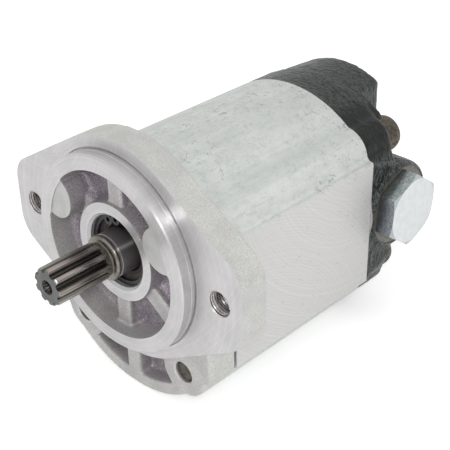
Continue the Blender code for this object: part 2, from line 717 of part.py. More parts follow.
def make_front_cover():
    cover = plate("front_cover", [flange_outline()], 0, FLANGE_THICKNESS, "cast_aluminium")
    join(cover, plate("lower_casing", [case_outline()], LOWER_FACE_SETBACK, FRONT_COVER_LENGTH))
    join(cover, pilot_boss())
    cut(cover, recess_cutter(), lower_pocket_cutter())
    cut_seal_bore(cover)
    cut_front_threads(cover)
    cut_pry_slots(cover)
    cut(cover, *dowel_cutters("front_cover_dowel", FRONT_JOINT))


def make_pump_body():
    start, end = BODY_FRONT - OVERCUT, BODY_REAR + OVERCUT
    body = plate("pump_body", [case_outline()], BODY_FRONT, BODY_REAR, "extruded_aluminium")
    cut(body, plate("gear_bore", [figure_eight(GEAR_BORE_RADIUS)], start, end))
    cut(body, *bolt_cutters("body_bolt", BOLT_DIAMETER / 2 + BOLT_HOLE_CLEARANCE, start, end))
    channel = (PRESSURE_CHANNEL_X, 0, CASE_CENTRE_Z)
    cut(body, rod("pressure_channel", PRESSURE_CHANNEL_DIAMETER / 2, GEAR_START, end, centre=channel))

    # Inlet port in the left pad
    left = -CASE_HALF_WIDTH
    step = left + INLET_THREAD_DEPTH
    centre = (0, GEAR_MIDDLE, CASE_CENTRE_Z)
    thread = INLET_THREAD_DIAMETER / 2
    cut(body, chamfered_hole("inlet_thread", thread, left, step, PORT_CHAMFER, "X", centre))
    cut(body, rod("inlet_core", INLET_CORE_DIAMETER / 2, step - OVERCUT, 0, "X", centre))

    half = BODY_SEAL_SECTION / 2 + SEAT_GAP
    groove = [racetrack(BODY_SEAL_RADIUS + half), racetrack(BODY_SEAL_RADIUS - half)]
    for name, face, inward in (("front", BODY_FRONT, 1), ("rear", BODY_REAR, -1)):
        low, high = sorted((face - inward * OVERCUT, face + inward * (BODY_SEAL_SECTION + SEAT_GAP)))
        cut(body, plate(f"seal_groove_{name}", groove, low, high))
    cut(body, *dowel_cutters("body_dowel_front", FRONT_JOINT))
    cut(body, *dowel_cutters("body_dowel_rear", REAR_JOINT))


def hump_outline(half_width, inset, bottom):
    """Outline of a hump on the rear cover: the casing's round top between two upright sides."""
    radius = CASE_RADIUS - inset
    top = degrees(acos(half_width / radius))
    points = moved(arc((0, 0), radius, top, 180 - top, 8), 0, CASE_CENTRE_Z)
    return points + [(-half_width, bottom), (half_width, bottom)]


def fade_pad_corners(cover):
    """Towards the rear, the corners of the side pads sink into the round of the casing."""
    for vertex in cover.data.vertices:
        rise = vertex.co.z - CASE_CENTRE_Z
        side = abs(vertex.co.x)
        if vertex.co.y < REAR_PLATE_END - OVERCUT or abs(rise) < PAD_HALF_HEIGHT - 2 * PAD_CORNER:
            continue
        if side > CASE_HALF_WIDTH - PAD_CORNER:
            vertex.co.z -= copysign(PAD_FADE_HEIGHT, rise)
        elif side > CASE_HALF_WIDTH - 2 * PAD_SHOULDER and abs(rise) < PAD_HALF_HEIGHT + PAD_CORNER:
            vertex.co.x -= copysign(PAD_FADE_DEPTH, vertex.co.x)
    split_faces(cover)


def draft_hump(hump):
    """The hump's sides lean in towards its rear face."""
    for vertex in hump.data.vertices:
        if vertex.co.y > REAR_PLATE_END:
            vertex.co.x *= (HUMP_HALF_WIDTH - HUMP_DRAFT) / HUMP_HALF_WIDTH
    split_faces(hump)


def gallery_boss():
    """The round cross boss that holds the relief valve, trimmed at the joint with the body."""
    left_end = GALLERY_LEFT_INSET - CASE_HALF_WIDTH
    profile = [
        (0, GALLERY_FACE),
        (GALLERY_RADIUS - GALLERY_CHAMFER, GALLERY_FACE),
        (GALLERY_RADIUS, GALLERY_FACE - GALLERY_CHAMFER),
        (GALLERY_RADIUS, left_end + GALLERY_CHAMFER),
        (GALLERY_RADIUS - GALLERY_CHAMFER, left_end),
        (0, left_end),
    ]
    gallery = turned("gallery_boss", profile, "X", (0, GALLERY_Y, GALLERY_Z))
    far = 2 * CASE_RADIUS
    low = (-far, REAR_COVER_START - far, -far)
    cut(gallery, block("joint_trim", low, (far, REAR_COVER_START + SEAT_GAP, far)))
    return gallery


def valve_gallery():
    """The stepped bore for the plug's ring and thread, the valve's seat and its chamber."""
    mouth = GALLERY_FACE + OVERCUT
    thread_radius = PLUG_THREAD_DIAMETER / 2 + THREAD_CLEARANCE
    ring_radius = thread_radius + PLUG_RING_SECTION + SEAT_GAP
    ring_floor = GALLERY_FACE - PLUG_RING_SECTION - SEAT_GAP
    thread_end = PLUG_INNER_END - PLUG_RUNOUT
    seat_radius = VALVE_BORE_DIAMETER / 2
    seat_floor = VALVE_SEAT_START - SEAT_GAP
    chamber_radius = VALVE_CHAMBER_DIAMETER / 2
    chamber_end = -OUTLET_CORE_DIAMETER / 2
    steps = [
        (0, mouth),
        (ring_radius, mouth),
        (ring_radius, ring_floor),
        (thread_radius, ring_floor),
        (thread_radius, thread_end),
        (seat_radius, thread_end),
        (seat_radius, seat_floor),
        (chamber_radius, seat_floor),
        (chamber_radius, chamber_end),
        (0, chamber_end),
    ]
    return turned("valve_gallery", steps, "X", (0, GALLERY_Y, GALLERY_Z), segments=20)


def cut_outlet_port(cover):
    """Outlet port in the hump's rear face, and the drillings that feed it."""
    channel = (PRESSURE_CHANNEL_X, 0, CASE_CENTRE_Z)
    channel_radius = PRESSURE_CHANNEL_DIAMETER / 2
    cut(cover, rod("cover_channel", channel_radius, REAR_COVER_START - OVERCUT, GALLERY_Y, centre=channel))
    outlet = (0, 0, OUTLET_HEIGHT)
    core = OUTLET_CORE_DIAMETER / 2
    deep = HUMP_END - OUTLET_THREAD_DEPTH
    thread = OUTLET_THREAD_DIAMETER / 2
    cut(cover, chamfered_hole("outlet_thread", thread, HUMP_END, deep, PORT_CHAMFER, centre=outlet))
    cut(cover, rod("outlet_core", core, deep - PORT_STEP, deep + OVERCUT, centre=outlet))
    cut(cover, rod("outlet_drop", core - OUTLET_DROP_INSET, GALLERY_Z, OUTLET_HEIGHT, "Z", (0, deep, 0)))


def make_rear_cover():
    cover = plate("rear_cover", [case_outline()], REAR_COVER_START, REAR_PLATE_END, "black_cast_iron")
    fade_pad_corners(cover)
    middle = REAR_COVER_START + REAR_PLATE_THICKNESS / 2
    shoulder = hump_outline(SHOULDER_HALF_WIDTH, 2 * HUMP_INSET, CASE_CENTRE_Z)
    join(cover, plate("hump_shoulder", [shoulder], middle + OVERCUT, REAR_PLATE_END + SHOULDER_HEIGHT))
    hump = plate("hump", [hump_outline(HUMP_HALF_WIDTH, HUMP_INSET, GALLERY_Z)], middle, HUMP_END)
    draft_hump(hump)
    join(cover, hump, gallery_boss())
    cut(cover, valve_gallery())
    cut_outlet_port(cover)
    hole = BOLT_DIAMETER / 2 + BOLT_HOLE_CLEARANCE
    spotface = WASHER_DIAMETER / 2 + SEAT_GAP
    beyond = HUMP_END + GALLERY_RADIUS
    cut(cover, *bolt_cutters("cover_bolt", hole, REAR_COVER_START - OVERCUT, HUMP_END))
    cut(cover, *bolt_cutters("cover_spotface", spotface, SCREW_SEAT, beyond))
    cut(cover, *dowel_cutters("rear_cover_dowel", REAR_JOINT))


# ---- running gear ----


def shaft_profile(front):
    """Profile of a gear shaft's round parts. The given points end it at the front."""
    rear = REAR_COVER_START - BLOCK_END_GAP
    core = GEAR_ROOT_RADIUS - CORE_INSET
    return [
        (0, rear),
        (JOURNAL_RADIUS - SHAFT_CHAMFER, rear),
        (JOURNAL_RADIUS, rear - SHAFT_CHAMFER),
        (JOURNAL_RADIUS, GEAR_END - CORE_END_INSET),
        (core, GEAR_END - CORE_END_INSET),
        (core, GEAR_START + CORE_END_INSET),
        (JOURNAL_RADIUS, GEAR_START + CORE_END_INSET),
        *front,
    ]


def shaft_front():
    """Front end of the drive shaft's profile: journal relief, collar, neck, spline core and centre drill."""
    tip = -SHAFT_EXTENSION
    neck = NECK_DIAMETER / 2
    collar = COLLAR_DIAMETER / 2
    core = SPLINE_MINOR_DIAMETER / 2 - CORE_INSET / 4
    collar_front = COLLAR_SETBACK - SPLINE_END
    collar_back = collar_front + COLLAR_WIDTH
    relief_end = collar_back + JOURNAL_RELIEF_WIDTH
    drill = CENTRE_DRILL_DIAMETER / 2
    return [
        (JOURNAL_RADIUS, relief_end),
        (JOURNAL_RADIUS - JOURNAL_RELIEF, relief_end),
        (JOURNAL_RADIUS - JOURNAL_RELIEF, collar_back),
        (collar, collar_back),
        (collar, collar_front + COLLAR_CHAMFER),
        (neck + COLLAR_CHAMFER, collar_front),
        (neck, collar_front - CORE_INSET),
        (neck, -SPLINE_END - CORE_INSET),
        (core, -SPLINE_END - CORE_INSET),
        (core, tip + CORE_INSET),
        (core - CORE_INSET, tip),
        (drill, tip),
        (drill / 2, tip + drill),
        (drill / 2, tip + CENTRE_DRILL_DEPTH - drill / 2),
        (0, tip + CENTRE_DRILL_DEPTH),
    ]


def drive_spline():
    """The spline's teeth round the shaft's core, with a chamfered front end."""
    tip = -SHAFT_EXTENSION
    front = tip + CORE_INSET / 8
    major = SPLINE_MAJOR_DIAMETER / 2 + CORE_INSET / 8
    spline = plate("spline", [spline_outline()], tip, -SPLINE_END)
    envelope = [
        (0, 0),
        (major, 0),
        (major, tip + SPLINE_CHAMFER),
        (major - SPLINE_CHAMFER, front),
        (0, front),
    ]
    boolean(spline, turned("spline_envelope", envelope), "INTERSECT")
    cut(spline, rod("spline_inside", SPLINE_MINOR_DIAMETER / 2 - 2 * CORE_INSET, tip - OVERCUT, 0))
    return spline


def make_drive_gear():
    """Gear and splined drive shaft in one piece."""
    shaft = turned("drive_gear_shaft", shaft_profile(shaft_front()), kind="hardened_steel")
    join(shaft, plate("drive_gear", [gear_outline(270)], GEAR_START, GEAR_END), drive_spline())
    smooth(shaft)


def make_driven_gear():
    """Gear and plain shaft in one piece. Its origin is on its own axis."""
    end = FRONT_BLOCK_START
    front = [(JOURNAL_RADIUS, end + SHAFT_CHAMFER), (JOURNAL_RADIUS - SHAFT_CHAMFER, end), (0, end)]
    axis = (0, 0, -GEAR_CENTRES)
    shaft = turned("driven_gear_shaft", shaft_profile(front), centre=axis, kind="hardened_steel")
    gap_phase = 90 + 180 / GEAR_TEETH
    outline = moved(gear_outline(gap_phase), 0, -GEAR_CENTRES)
    join(shaft, plate("driven_gear", [outline], GEAR_START, GEAR_END))
    smooth(shaft)


def make_bearing_block(name, start, seal_face, inward):
    """Aluminium block that carries the bushes of both shafts at one side of the gears."""
    hole = BUSH_RADIUS + SEAT_GAP / 2
    outlines = [
        figure_eight(GEAR_BORE_RADIUS - BLOCK_SIDE_CLEARANCE),
        circle((0, 0), hole),
        circle((0, -GEAR_CENTRES), hole),
    ]
    made = plate(name, outlines, start, start + BLOCK_LENGTH, "bearing_aluminium")
    low, high = sorted((seal_face - inward * OVERCUT, seal_face + inward * (BLOCK_SEAL_SECTION + SEAT_GAP)))
    width = BLOCK_SEAL_SECTION + 2 * SEAT_GAP
    groove = three_outline(BLOCK_SEAL_RADIUS, width, BLOCK_SEAL_SPLIT - SEAT_GAP)
    cut(made, plate(f"{name}_groove", [groove], low, high))


def make_block_seal(name, seal_face, inward):
    low, high = sorted((seal_face, seal_face + inward * BLOCK_SEAL_SECTION))
    outline = three_outline(BLOCK_SEAL_RADIUS, BLOCK_SEAL_SECTION, BLOCK_SEAL_SPLIT)
    plate(name, [outline], low, high, "nitrile_rubber")


def make_body_seal(name, face, inward):
    """Square-section ring in the body's end face."""
    low, high = sorted((face, face + inward * BODY_SEAL_SECTION))
    half = BODY_SEAL_SECTION / 2
    outlines = [racetrack(BODY_SEAL_RADIUS + half), racetrack(BODY_SEAL_RADIUS - half)]
    plate(name, outlines, low, high, "nitrile_rubber")


def make_bush(name, start, z):
    inner = JOURNAL_RADIUS + JOURNAL_CLEARANCE
    end = start + BLOCK_LENGTH - 2 * SEAT_GAP
    tube(name, (inner, BUSH_RADIUS), start + 2 * SEAT_GAP, end, centre=(0, 0, z), kind="bearing_bronze")


def make_bearings():
    make_bearing_block("front_bearing_block", FRONT_BLOCK_START, FRONT_BLOCK_START, 1)
    make_bearing_block("rear_bearing_block", REAR_BLOCK_START, REAR_BLOCK_START + BLOCK_LENGTH, -1)
    make_block_seal("front_block_seal", FRONT_BLOCK_START, 1)
    make_block_seal("rear_block_seal", REAR_BLOCK_START + BLOCK_LENGTH, -1)
    for row, start in (("front", FRONT_BLOCK_START), ("rear", REAR_BLOCK_START)):
        make_bush(f"drive_{row}_bush", start, 0)
        make_bush(f"driven_{row}_bush", start, -GEAR_CENTRES)
    make_body_seal("front_body_seal", BODY_FRONT, 1)
    make_body_seal("rear_body_seal", BODY_REAR, -1)


# ---- shaft seal ----


def make_shaft_seal():
    """Lip seal with its garter spring, behind the retaining ring."""
    front = RING_GROOVE_START + RING_THICKNESS + 3 * SEAT_GAP
    back = front + SEAL_WIDTH
    outer = SEAL_BORE_DIAMETER / 2 - SEAT_GAP
    lip = JOURNAL_RADIUS + LIP_CLEARANCE
    middle = (outer + lip) / 2
    wire = GARTER_WIRE / 2
    heel = back - SEAL_HEEL
    profile = [
        (outer, back),
        (outer, front),
        (lip + SEAL_LIP_FLARE, front),
        (lip, front + SEAL_WIDTH / 2),
        (lip, front + SEAL_WIDTH * 0.6),
        (lip + SEAL_WALL - SEAT_GAP, heel),
        (middle - 2 * wire, heel),
        (middle - 2 * wire, front + SEAL_WALL),
        (outer - SEAL_WALL, front + SEAL_WALL),
        (outer - SEAL_WALL, back),
    ]
    turned("shaft_seal", profile, kind="nitrile_rubber", closed=True)
    garter = arc((middle - wire + SEAT_GAP, front + SEAL_WIDTH * 0.62), wire, 90, -270, 6)[:-1]
    turned("seal_garter_spring", garter, segments=24, kind="spring_steel", closed=True)


def make_retaining_ring():
    """Internal retaining ring with an eye at each end."""
    start = RING_GROOVE_START + SEAT_GAP
    end = start + RING_THICKNESS
    outer = SEAL_BORE_DIAMETER / 2 + RING_GROOVE_DEPTH - SEAT_GAP
    inner = outer - RING_RADIAL_WIDTH
    first = RING_OPENING_ANGLE + RING_HALF_OPENING
    last = RING_OPENING_ANGLE + 360 - RING_HALF_OPENING
    outline = arc((0, 0), outer, first, last, 28) + arc((0, 0), inner, last, first, 28)
    ring = plate("seal_retaining_ring", [outline], start, end, "spring_steel")
    lug_distance = inner - RING_LUG_RADIUS * 0.35
    for side, angle in (("first", first + RING_LUG_TURN), ("last", last - RING_LUG_TURN)):
        centre = (lug_distance * cos(radians(angle)), 0, lug_distance * sin(radians(angle)))
        join(ring, rod(f"lug_{side}", RING_LUG_RADIUS, start, end, centre=centre, segments=16))
        name = f"lug_hole_{side}"
        cut(ring, rod(name, RING_LUG_HOLE, start - OVERCUT, end + OVERCUT, centre=centre, segments=12))


# ---- fasteners ----


def make_bolts():
    """Socket-head screws from the rear cover through the body into the front cover."""
    washer_start = SCREW_SEAT + SEAT_GAP
    washer_end = washer_start + WASHER_THICKNESS
    washer_radii = (BOLT_DIAMETER / 2 + BOLT_HOLE_CLEARANCE, WASHER_DIAMETER / 2)
    seat = washer_end + SEAT_GAP
    top = seat + BOLT_HEAD_HEIGHT
    shank, head = BOLT_DIAMETER / 2, BOLT_HEAD_DIAMETER / 2
    profile = [
        (0, top),
        (head - BOLT_CHAMFER, top),
        (head, top - BOLT_CHAMFER),
        (head, seat),
        (shank, seat),
        (shank, BOLT_TIP_INSET + BOLT_CHAMFER),
        (shank - BOLT_CHAMFER, BOLT_TIP_INSET),
        (0, BOLT_TIP_INSET),
    ]
    for key, (x, z) in BOLT_PLACES.items():
        centre = (x, 0, z)
        bolt = turned(f"body_screw_{key}", profile, centre=centre, segments=20, kind="bolt_steel")
        socket = moved(hexagon(BOLT_SOCKET_FLATS), x, z)
        cut(bolt, plate(f"socket_{key}", [socket], top - BOLT_SOCKET_DEPTH, top + OVERCUT))
        name = f"screw_washer_{key}"
        tube(name, washer_radii, washer_start, washer_end, centre=centre, segments=20, kind="bolt_steel")


def make_dowels():
    radius, half = DOWEL_DIAMETER / 2, DOWEL_LENGTH / 2
    for row, joint in (("front", FRONT_JOINT), ("rear", REAR_JOINT)):
        for key, z in dowel_places().items():
            name = f"{row}_dowel_{key}"
            low, high = joint - half, joint + half
            rod(name, radius, low, high, centre=(0, 0, z), segments=16, kind="hardened_steel")


# ---- relief valve ----


def hexagon_head(name, start, end):
    """The plug's hexagon, with its outer corners chamfered."""
    outline = hexagon(PLUG_FLATS, 180 - PLUG_TURN)
    head = plate(name, [outline], start, end)
    head.data.transform(Matrix.Rotation(-pi / 2, 4, "Z"))
    head.data.transform(Matrix.Translation((0, GALLERY_Y, GALLERY_Z)))
    corner = PLUG_FLATS / sqrt(3)
    face = PLUG_FACE_DIAMETER / 2
    drop = (corner - face) * tan(radians(PLUG_CHAMFER_ANGLE))
    shell = [(0, end), (face, end), (corner, end - drop), (corner, start), (0, start)]
    boolean(head, turned(f"{name}_envelope", shell, "X", (0, GALLERY_Y, GALLERY_Z)), "INTERSECT")
    return head


def make_relief_valve():
    """Hexagon plug, seal ring, spring, poppet and seat in the cross gallery."""
    axis = (0, GALLERY_Y, GALLERY_Z)
    thread = PLUG_THREAD_DIAMETER / 2
    bore = SPRING_RADIUS + SPRING_WIRE / 2 + 2 * SEAT_GAP
    outer_face = PLUG_UNDERSIDE + PLUG_HEAD
    profile = [
        (0, outer_face - OVERCUT),
        (thread, outer_face - OVERCUT),
        (thread, PLUG_INNER_END + PLUG_THREAD_CHAMFER),
        (thread - PLUG_THREAD_CHAMFER, PLUG_INNER_END),
        (bore, PLUG_INNER_END),
        (bore, PLUG_BORE_END),
        (0, PLUG_BORE_END),
    ]
    plug = turned("hex_plug", profile, "X", axis, kind="zinc_plate")
    join(plug, hexagon_head("plug_hexagon", PLUG_UNDERSIDE, outer_face))
    ring_radii = (thread + THREAD_CLEARANCE, thread + THREAD_CLEARANCE + PLUG_RING_SECTION)
    ring_start = GALLERY_FACE - PLUG_RING_SECTION
    tube("plug_seal_ring", ring_radii, ring_start, GALLERY_FACE, "X", axis, kind="nitrile_rubber")
    seat_radii = (VALVE_SEAT_HOLE / 2, VALVE_BORE_DIAMETER / 2 - SEAT_GAP)
    tube("relief_seat", seat_radii, VALVE_SEAT_START, VALVE_SEAT_END, "X", axis, kind="hardened_steel")
    make_poppet(axis)
    make_spring(axis)


def make_poppet(axis):
    """Cone that closes the seat, with a flange and a spigot for the spring."""
    poppet = POPPET_DIAMETER / 2
    spigot = POPPET_SPIGOT_DIAMETER / 2
    flange_end = POPPET_CONE_END + POPPET_FLANGE
    spigot_end = flange_end + POPPET_SPIGOT_LENGTH
    nose = VALVE_SEAT_HOLE / 2 - POPPET_NOSE_INSET
    nose_end = POPPET_CONE_END - (poppet - nose)
    profile = [
        (0, spigot_end),
        (spigot, spigot_end),
        (spigot, flange_end),
        (poppet, flange_end),
        (poppet, POPPET_CONE_END),
        (nose, nose_end),
        (0, nose_end),
    ]
    turned("relief_poppet", profile, "X", axis, kind="hardened_steel")


def make_spring(axis):
    """Coil spring along the gallery."""
    wire = SPRING_WIRE / 2
    start, end = SPRING_START + wire, SPRING_END - wire
    per_turn = 12
    count = SPRING_TURNS * per_turn
    curve = bpy.data.curves.new("relief_spring", "CURVE")
    curve.dimensions = "3D"
    curve.bevel_depth = wire
    curve.bevel_resolution = 1
    curve.use_fill_caps = True
    spline = curve.splines.new("POLY")
    spline.points.add(count)
    for step, point in enumerate(spline.points):
        angle = 2 * pi * step / per_turn
        along = start + (end - start) * step / count
        point.co = (along, axis[1] + SPRING_RADIUS * cos(angle), axis[2] + SPRING_RADIUS * sin(angle), 1)
    place(bpy.data.objects.new("relief_spring", curve), "spring_steel")


make_front_cover()
make_pump_body()
make_rear_cover()
make_drive_gear()
make_driven_gear()
make_bearings()
make_shaft_seal()
make_retaining_ring()
make_bolts()
make_dowels()
make_relief_valve()
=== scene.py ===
import itertools
import math
import bpy
import bmesh
import numpy
from mathutils import Matrix, Vector, noise


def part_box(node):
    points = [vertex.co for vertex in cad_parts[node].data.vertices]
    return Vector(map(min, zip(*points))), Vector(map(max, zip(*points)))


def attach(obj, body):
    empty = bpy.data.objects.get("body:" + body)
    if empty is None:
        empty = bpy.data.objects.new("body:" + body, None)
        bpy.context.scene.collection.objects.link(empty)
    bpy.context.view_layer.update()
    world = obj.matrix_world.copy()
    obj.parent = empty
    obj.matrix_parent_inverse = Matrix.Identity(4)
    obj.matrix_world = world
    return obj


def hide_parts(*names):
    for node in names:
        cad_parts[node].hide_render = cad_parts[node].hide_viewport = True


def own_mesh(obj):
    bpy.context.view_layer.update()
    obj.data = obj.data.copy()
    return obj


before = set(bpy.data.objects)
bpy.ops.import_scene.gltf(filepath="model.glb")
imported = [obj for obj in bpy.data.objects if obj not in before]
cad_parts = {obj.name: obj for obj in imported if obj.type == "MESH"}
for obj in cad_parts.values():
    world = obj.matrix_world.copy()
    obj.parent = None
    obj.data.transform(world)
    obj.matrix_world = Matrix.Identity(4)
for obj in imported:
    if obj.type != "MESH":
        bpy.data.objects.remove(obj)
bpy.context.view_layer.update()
mm = 0.001
print("frame loaded:", len(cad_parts), "nodes")


def boxOf(node):
    # lowest and highest corner of a CAD node, in mm
    return [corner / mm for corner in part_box(node)]


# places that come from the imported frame, in mm
bodyLow, bodyHigh = boxOf("pump_body")
frontLow, frontHigh = boxOf("front_cover")
rearStart = boxOf("rear_cover")[0].y
caseMiddle = (bodyLow.z + bodyHigh.z) / 2
caseRadius = (bodyHigh.z - bodyLow.z) / 2
padReach = bodyHigh.x
galleryAxis = (0, 117.7, -12.45)    # centre line of the cross gallery, along X
screwPlaces = {}
for corner in ("upper_right", "upper_left", "lower_right", "lower_left"):
    low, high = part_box("body_screw_" + corner)
    screwPlaces[corner] = ((low.x + high.x) / 2 / mm, (low.z + high.z) / 2 / mm)
screwX, upperZ = screwPlaces["upper_right"]
lowerZ = screwPlaces["lower_right"][1]

workshop = bpy.data.collections.new("gearPumpLooks")
bpy.context.scene.collection.children.link(workshop)


def linear(hexColour):
    # sRGB hex to the linear colour that the sockets take
    made = []
    for start in (1, 3, 5):
        part = int(hexColour[start:start + 2], 16) / 255
        made.append(part / 12.92 if part <= 0.04045 else ((part + 0.055) / 1.055) ** 2.4)
    return (*made, 1.0)


def addNode(tree, kind, inputs=None, **settings):
    # one node with its settings; an input takes a link, a value or a hex colour
    node = tree.nodes.new(kind)
    for key, value in settings.items():
        setattr(node, key, value)
    for key, value in (inputs or {}).items():
        if isinstance(value, bpy.types.NodeSocket):
            tree.links.new(value, node.inputs[key])
        else:
            node.inputs[key].default_value = linear(value) if isinstance(value, str) else value
    return node.outputs


def radians(*angles):
    return [math.radians(angle) for angle in angles]


def arcPoints(centre, radius, start, end, steps):
    made = []
    for step in range(steps + 1):
        angle = math.radians(start + (end - start) * step / steps)
        made.append((centre[0] + radius * math.cos(angle), centre[1] + radius * math.sin(angle)))
    return made


def mirrored(right, left):
    # a whole outline from its upper right and upper left quarters
    outline = right + [(x, -z) for x, z in right[::-1]]
    return outline + [(-x, -z) for x, z in left[1:]] + [(-x, z) for x, z in left[:0:-1]]


def linkPiece(data, name="tool"):
    piece = bpy.data.objects.new(name, data)
    workshop.objects.link(piece)
    return piece


def cleanMesh(mesh):
    # welds the seams and turns the faces outwards
    work = bmesh.new()
    work.from_mesh(mesh)
    bmesh.ops.remove_doubles(work, verts=work.verts, dist=1e-6)
    bmesh.ops.recalc_face_normals(work, faces=work.faces)
    work.to_mesh(mesh)
    work.free()


def solidFrom(work, place):
    # closes a bmesh and puts it in its place
    mesh = bpy.data.meshes.new("tool")
    work.to_mesh(mesh)
    work.free()
    mesh.transform(place)
    cleanMesh(mesh)
    return linkPiece(mesh)


def settle(piece):
    # turns the evaluated object into a plain mesh and drops its modifiers
    graph = bpy.context.evaluated_depsgraph_get()
    mesh = bpy.data.meshes.new_from_object(piece.evaluated_get(graph), depsgraph=graph)
    piece.modifiers.clear()
    piece.data = mesh
    return piece


def slab(outlines, start, end):
    # flat outline in X and Z, thick along Y; outlines inside the first are holes
    curve = bpy.data.curves.new("outline", "CURVE")
    curve.dimensions = "2D"
    curve.fill_mode = "BOTH"
    curve.extrude = (end - start) * mm / 2
    for outline in outlines:
        line = curve.splines.new("POLY")
        line.points.add(len(outline) - 1)
        for point, (x, z) in zip(line.points, outline):
            point.co = (x * mm, z * mm, 0, 1)
        line.use_cyclic_u = True
    helper = linkPiece(curve)
    graph = bpy.context.evaluated_depsgraph_get()
    mesh = bpy.data.meshes.new_from_object(helper.evaluated_get(graph))
    bpy.data.objects.remove(helper)
    upright = Matrix.Rotation(math.pi / 2, 4, "X")
    mesh.transform(Matrix.Translation((0, (start + end) * mm / 2, 0)) @ upright)
    cleanMesh(mesh)
    return linkPiece(mesh)


turnAxis = {
    "Y": Matrix.Rotation(-math.pi / 2, 4, "X"),
    "X": Matrix.Rotation(math.pi / 2, 4, "Y"),
}


def placed(axis, centre):
    # stands what was made along Z on another axis, at a place in mm
    return Matrix.Translation(Vector(centre) * mm) @ turnAxis[axis]


def turned(profile, axis="Y", centre=(0, 0, 0), steps=96, ring=False):
    # spins (radius, place along the axis) pairs into a closed solid
    work = bmesh.new()
    points = [work.verts.new((radius * mm, 0, along * mm)) for radius, along in profile]
    for first, second in zip(points, points[1:]):
        work.edges.new((first, second))
    if ring:
        work.edges.new((points[-1], points[0]))
    bmesh.ops.spin(
        work, geom=work.verts[:] + work.edges[:], cent=(0, 0, 0), axis=(0, 0, 1),
        angle=2 * math.pi, steps=steps, use_merge=False,
    )
    return solidFrom(work, placed(axis, centre))


def drum(radius, start, end, axis="Y", centre=(0, 0, 0), steps=48):
    return turned([(0, end), (radius, end), (radius, start), (0, start)], axis, centre, steps)


def hull(points):
    # the convex solid round a few points
    work = bmesh.new()
    for point in points:
        work.verts.new(Vector(point) * mm)
    bmesh.ops.convex_hull(work, input=work.verts)
    return solidFrom(work, Matrix.Identity(4))


def box(low, high):
    return hull(itertools.product(*zip(low, high)))


def addMaterial(piece, material):
    piece.data.materials.append(material)
    return len(piece.data.materials) - 1


def paint(piece, material):
    piece.data.materials.clear()
    addMaterial(piece, material)
    return piece


def combine(piece, tool, metal=None, operation="DIFFERENCE"):
    # the faces that the tool makes take the tool's own material
    if metal:
        paint(tool, metal)
    step = piece.modifiers.new("step", "BOOLEAN")
    step.operation = operation
    step.solver = "MANIFOLD"
    step.object = tool
    step.material_mode = "TRANSFER"
    settle(piece)
    bpy.data.objects.remove(tool)
    return piece


def castSkin(piece, voxel, passes):
    # small even facets, relaxed so that every edge gets the fillet of a casting
    remesh = piece.modifiers.new("skin", "REMESH")
    remesh.mode = "VOXEL"
    remesh.voxel_size = voxel * mm
    relax = piece.modifiers.new("relax", "SMOOTH")
    relax.factor = 0.5
    relax.iterations = passes
    return settle(piece)


def breakEdges(piece, width, angle, segments=1):
    rim = piece.modifiers.new("rim", "BEVEL")
    rim.width = width * mm
    rim.segments = segments
    rim.limit_method = "ANGLE"
    rim.angle_limit = math.radians(angle)
    return settle(piece)


sharpAngle = math.radians(35)  # edges steeper than this stay crisp


def finishPiece(piece, name, body, slotName, *nodes):
    piece.name = name
    piece.data.shade_smooth()
    piece.data.set_sharp_from_angle(angle=sharpAngle)
    if nodes:
        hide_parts(*nodes)
    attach(piece, body)
    print("made", name, len(piece.data.polygons), "faces")


def perMm(size):
    # texture scale for a pattern whose cells are this many millimetres wide
    return 1000 / size


def startMaterial(name, colour, metallic, roughness):
    material = bpy.data.materials.new(name)
    material.use_nodes = True
    tree = material.node_tree
    shader = tree.nodes["Principled BSDF"]
    shader.inputs["Base Color"].default_value = linear(colour)
    shader.inputs["Metallic"].default_value = metallic
    shader.inputs["Roughness"].default_value = roughness
    return material, tree, shader, addNode(tree, "ShaderNodeTexCoord")["Object"]


def clouds(tree, place, size, detail=3.0, rough=0.55, stretch=(1, 1, 1), turn=(0, 0, 0)):
    # soft cells of this many mm; a stretch below 1 draws them out along its axis
    laidOut = {"Vector": place, "Scale": stretch, "Rotation": radians(*turn)}
    source = addNode(tree, "ShaderNodeMapping", laidOut)["Vector"]
    inputs = {"Vector": source, "Scale": perMm(size), "Detail": detail, "Roughness": rough}
    return addNode(tree, "ShaderNodeTexNoise", inputs)["Fac"]


def radiusFrom(tree, place, axis, centre=(0, 0, 0)):
    # distance from a line along one axis, in mm
    flat = {"X": (0, 1000, 1000), "Y": (1000, 0, 1000)}[axis]
    moved = addNode(tree, "ShaderNodeVectorMath", {0: place, 1: Vector(centre) * mm}, operation="SUBTRACT")
    scaled = addNode(tree, "ShaderNodeVectorMath", {0: moved["Vector"], 1: flat}, operation="MULTIPLY")
    return addNode(tree, "ShaderNodeVectorMath", {0: scaled["Vector"]}, operation="LENGTH")["Value"]


def rings(tree, place, axis, pitch, centre=(0, 0, 0)):
    # uneven turning lines: noise along the radius only; real ones are about 0.1 mm apart,
    # and they are drawn coarser here so that they show
    distance = radiusFrom(tree, place, axis, centre)
    inputs = {"W": distance, "Scale": 1 / pitch, "Detail": 2.0, "Roughness": 0.6}
    return addNode(tree, "ShaderNodeTexNoise", inputs, noise_dimensions="1D")["Fac"]


def bands(tree, place, axis, pitch):
    # the same lines side by side along an axis
    along = addNode(tree, "ShaderNodeSeparateXYZ", {"Vector": place})[axis]
    inputs = {"W": along, "Scale": 1 / (pitch * mm), "Detail": 2.0, "Roughness": 0.6}
    return addNode(tree, "ShaderNodeTexNoise", inputs, noise_dimensions="1D")["Fac"]


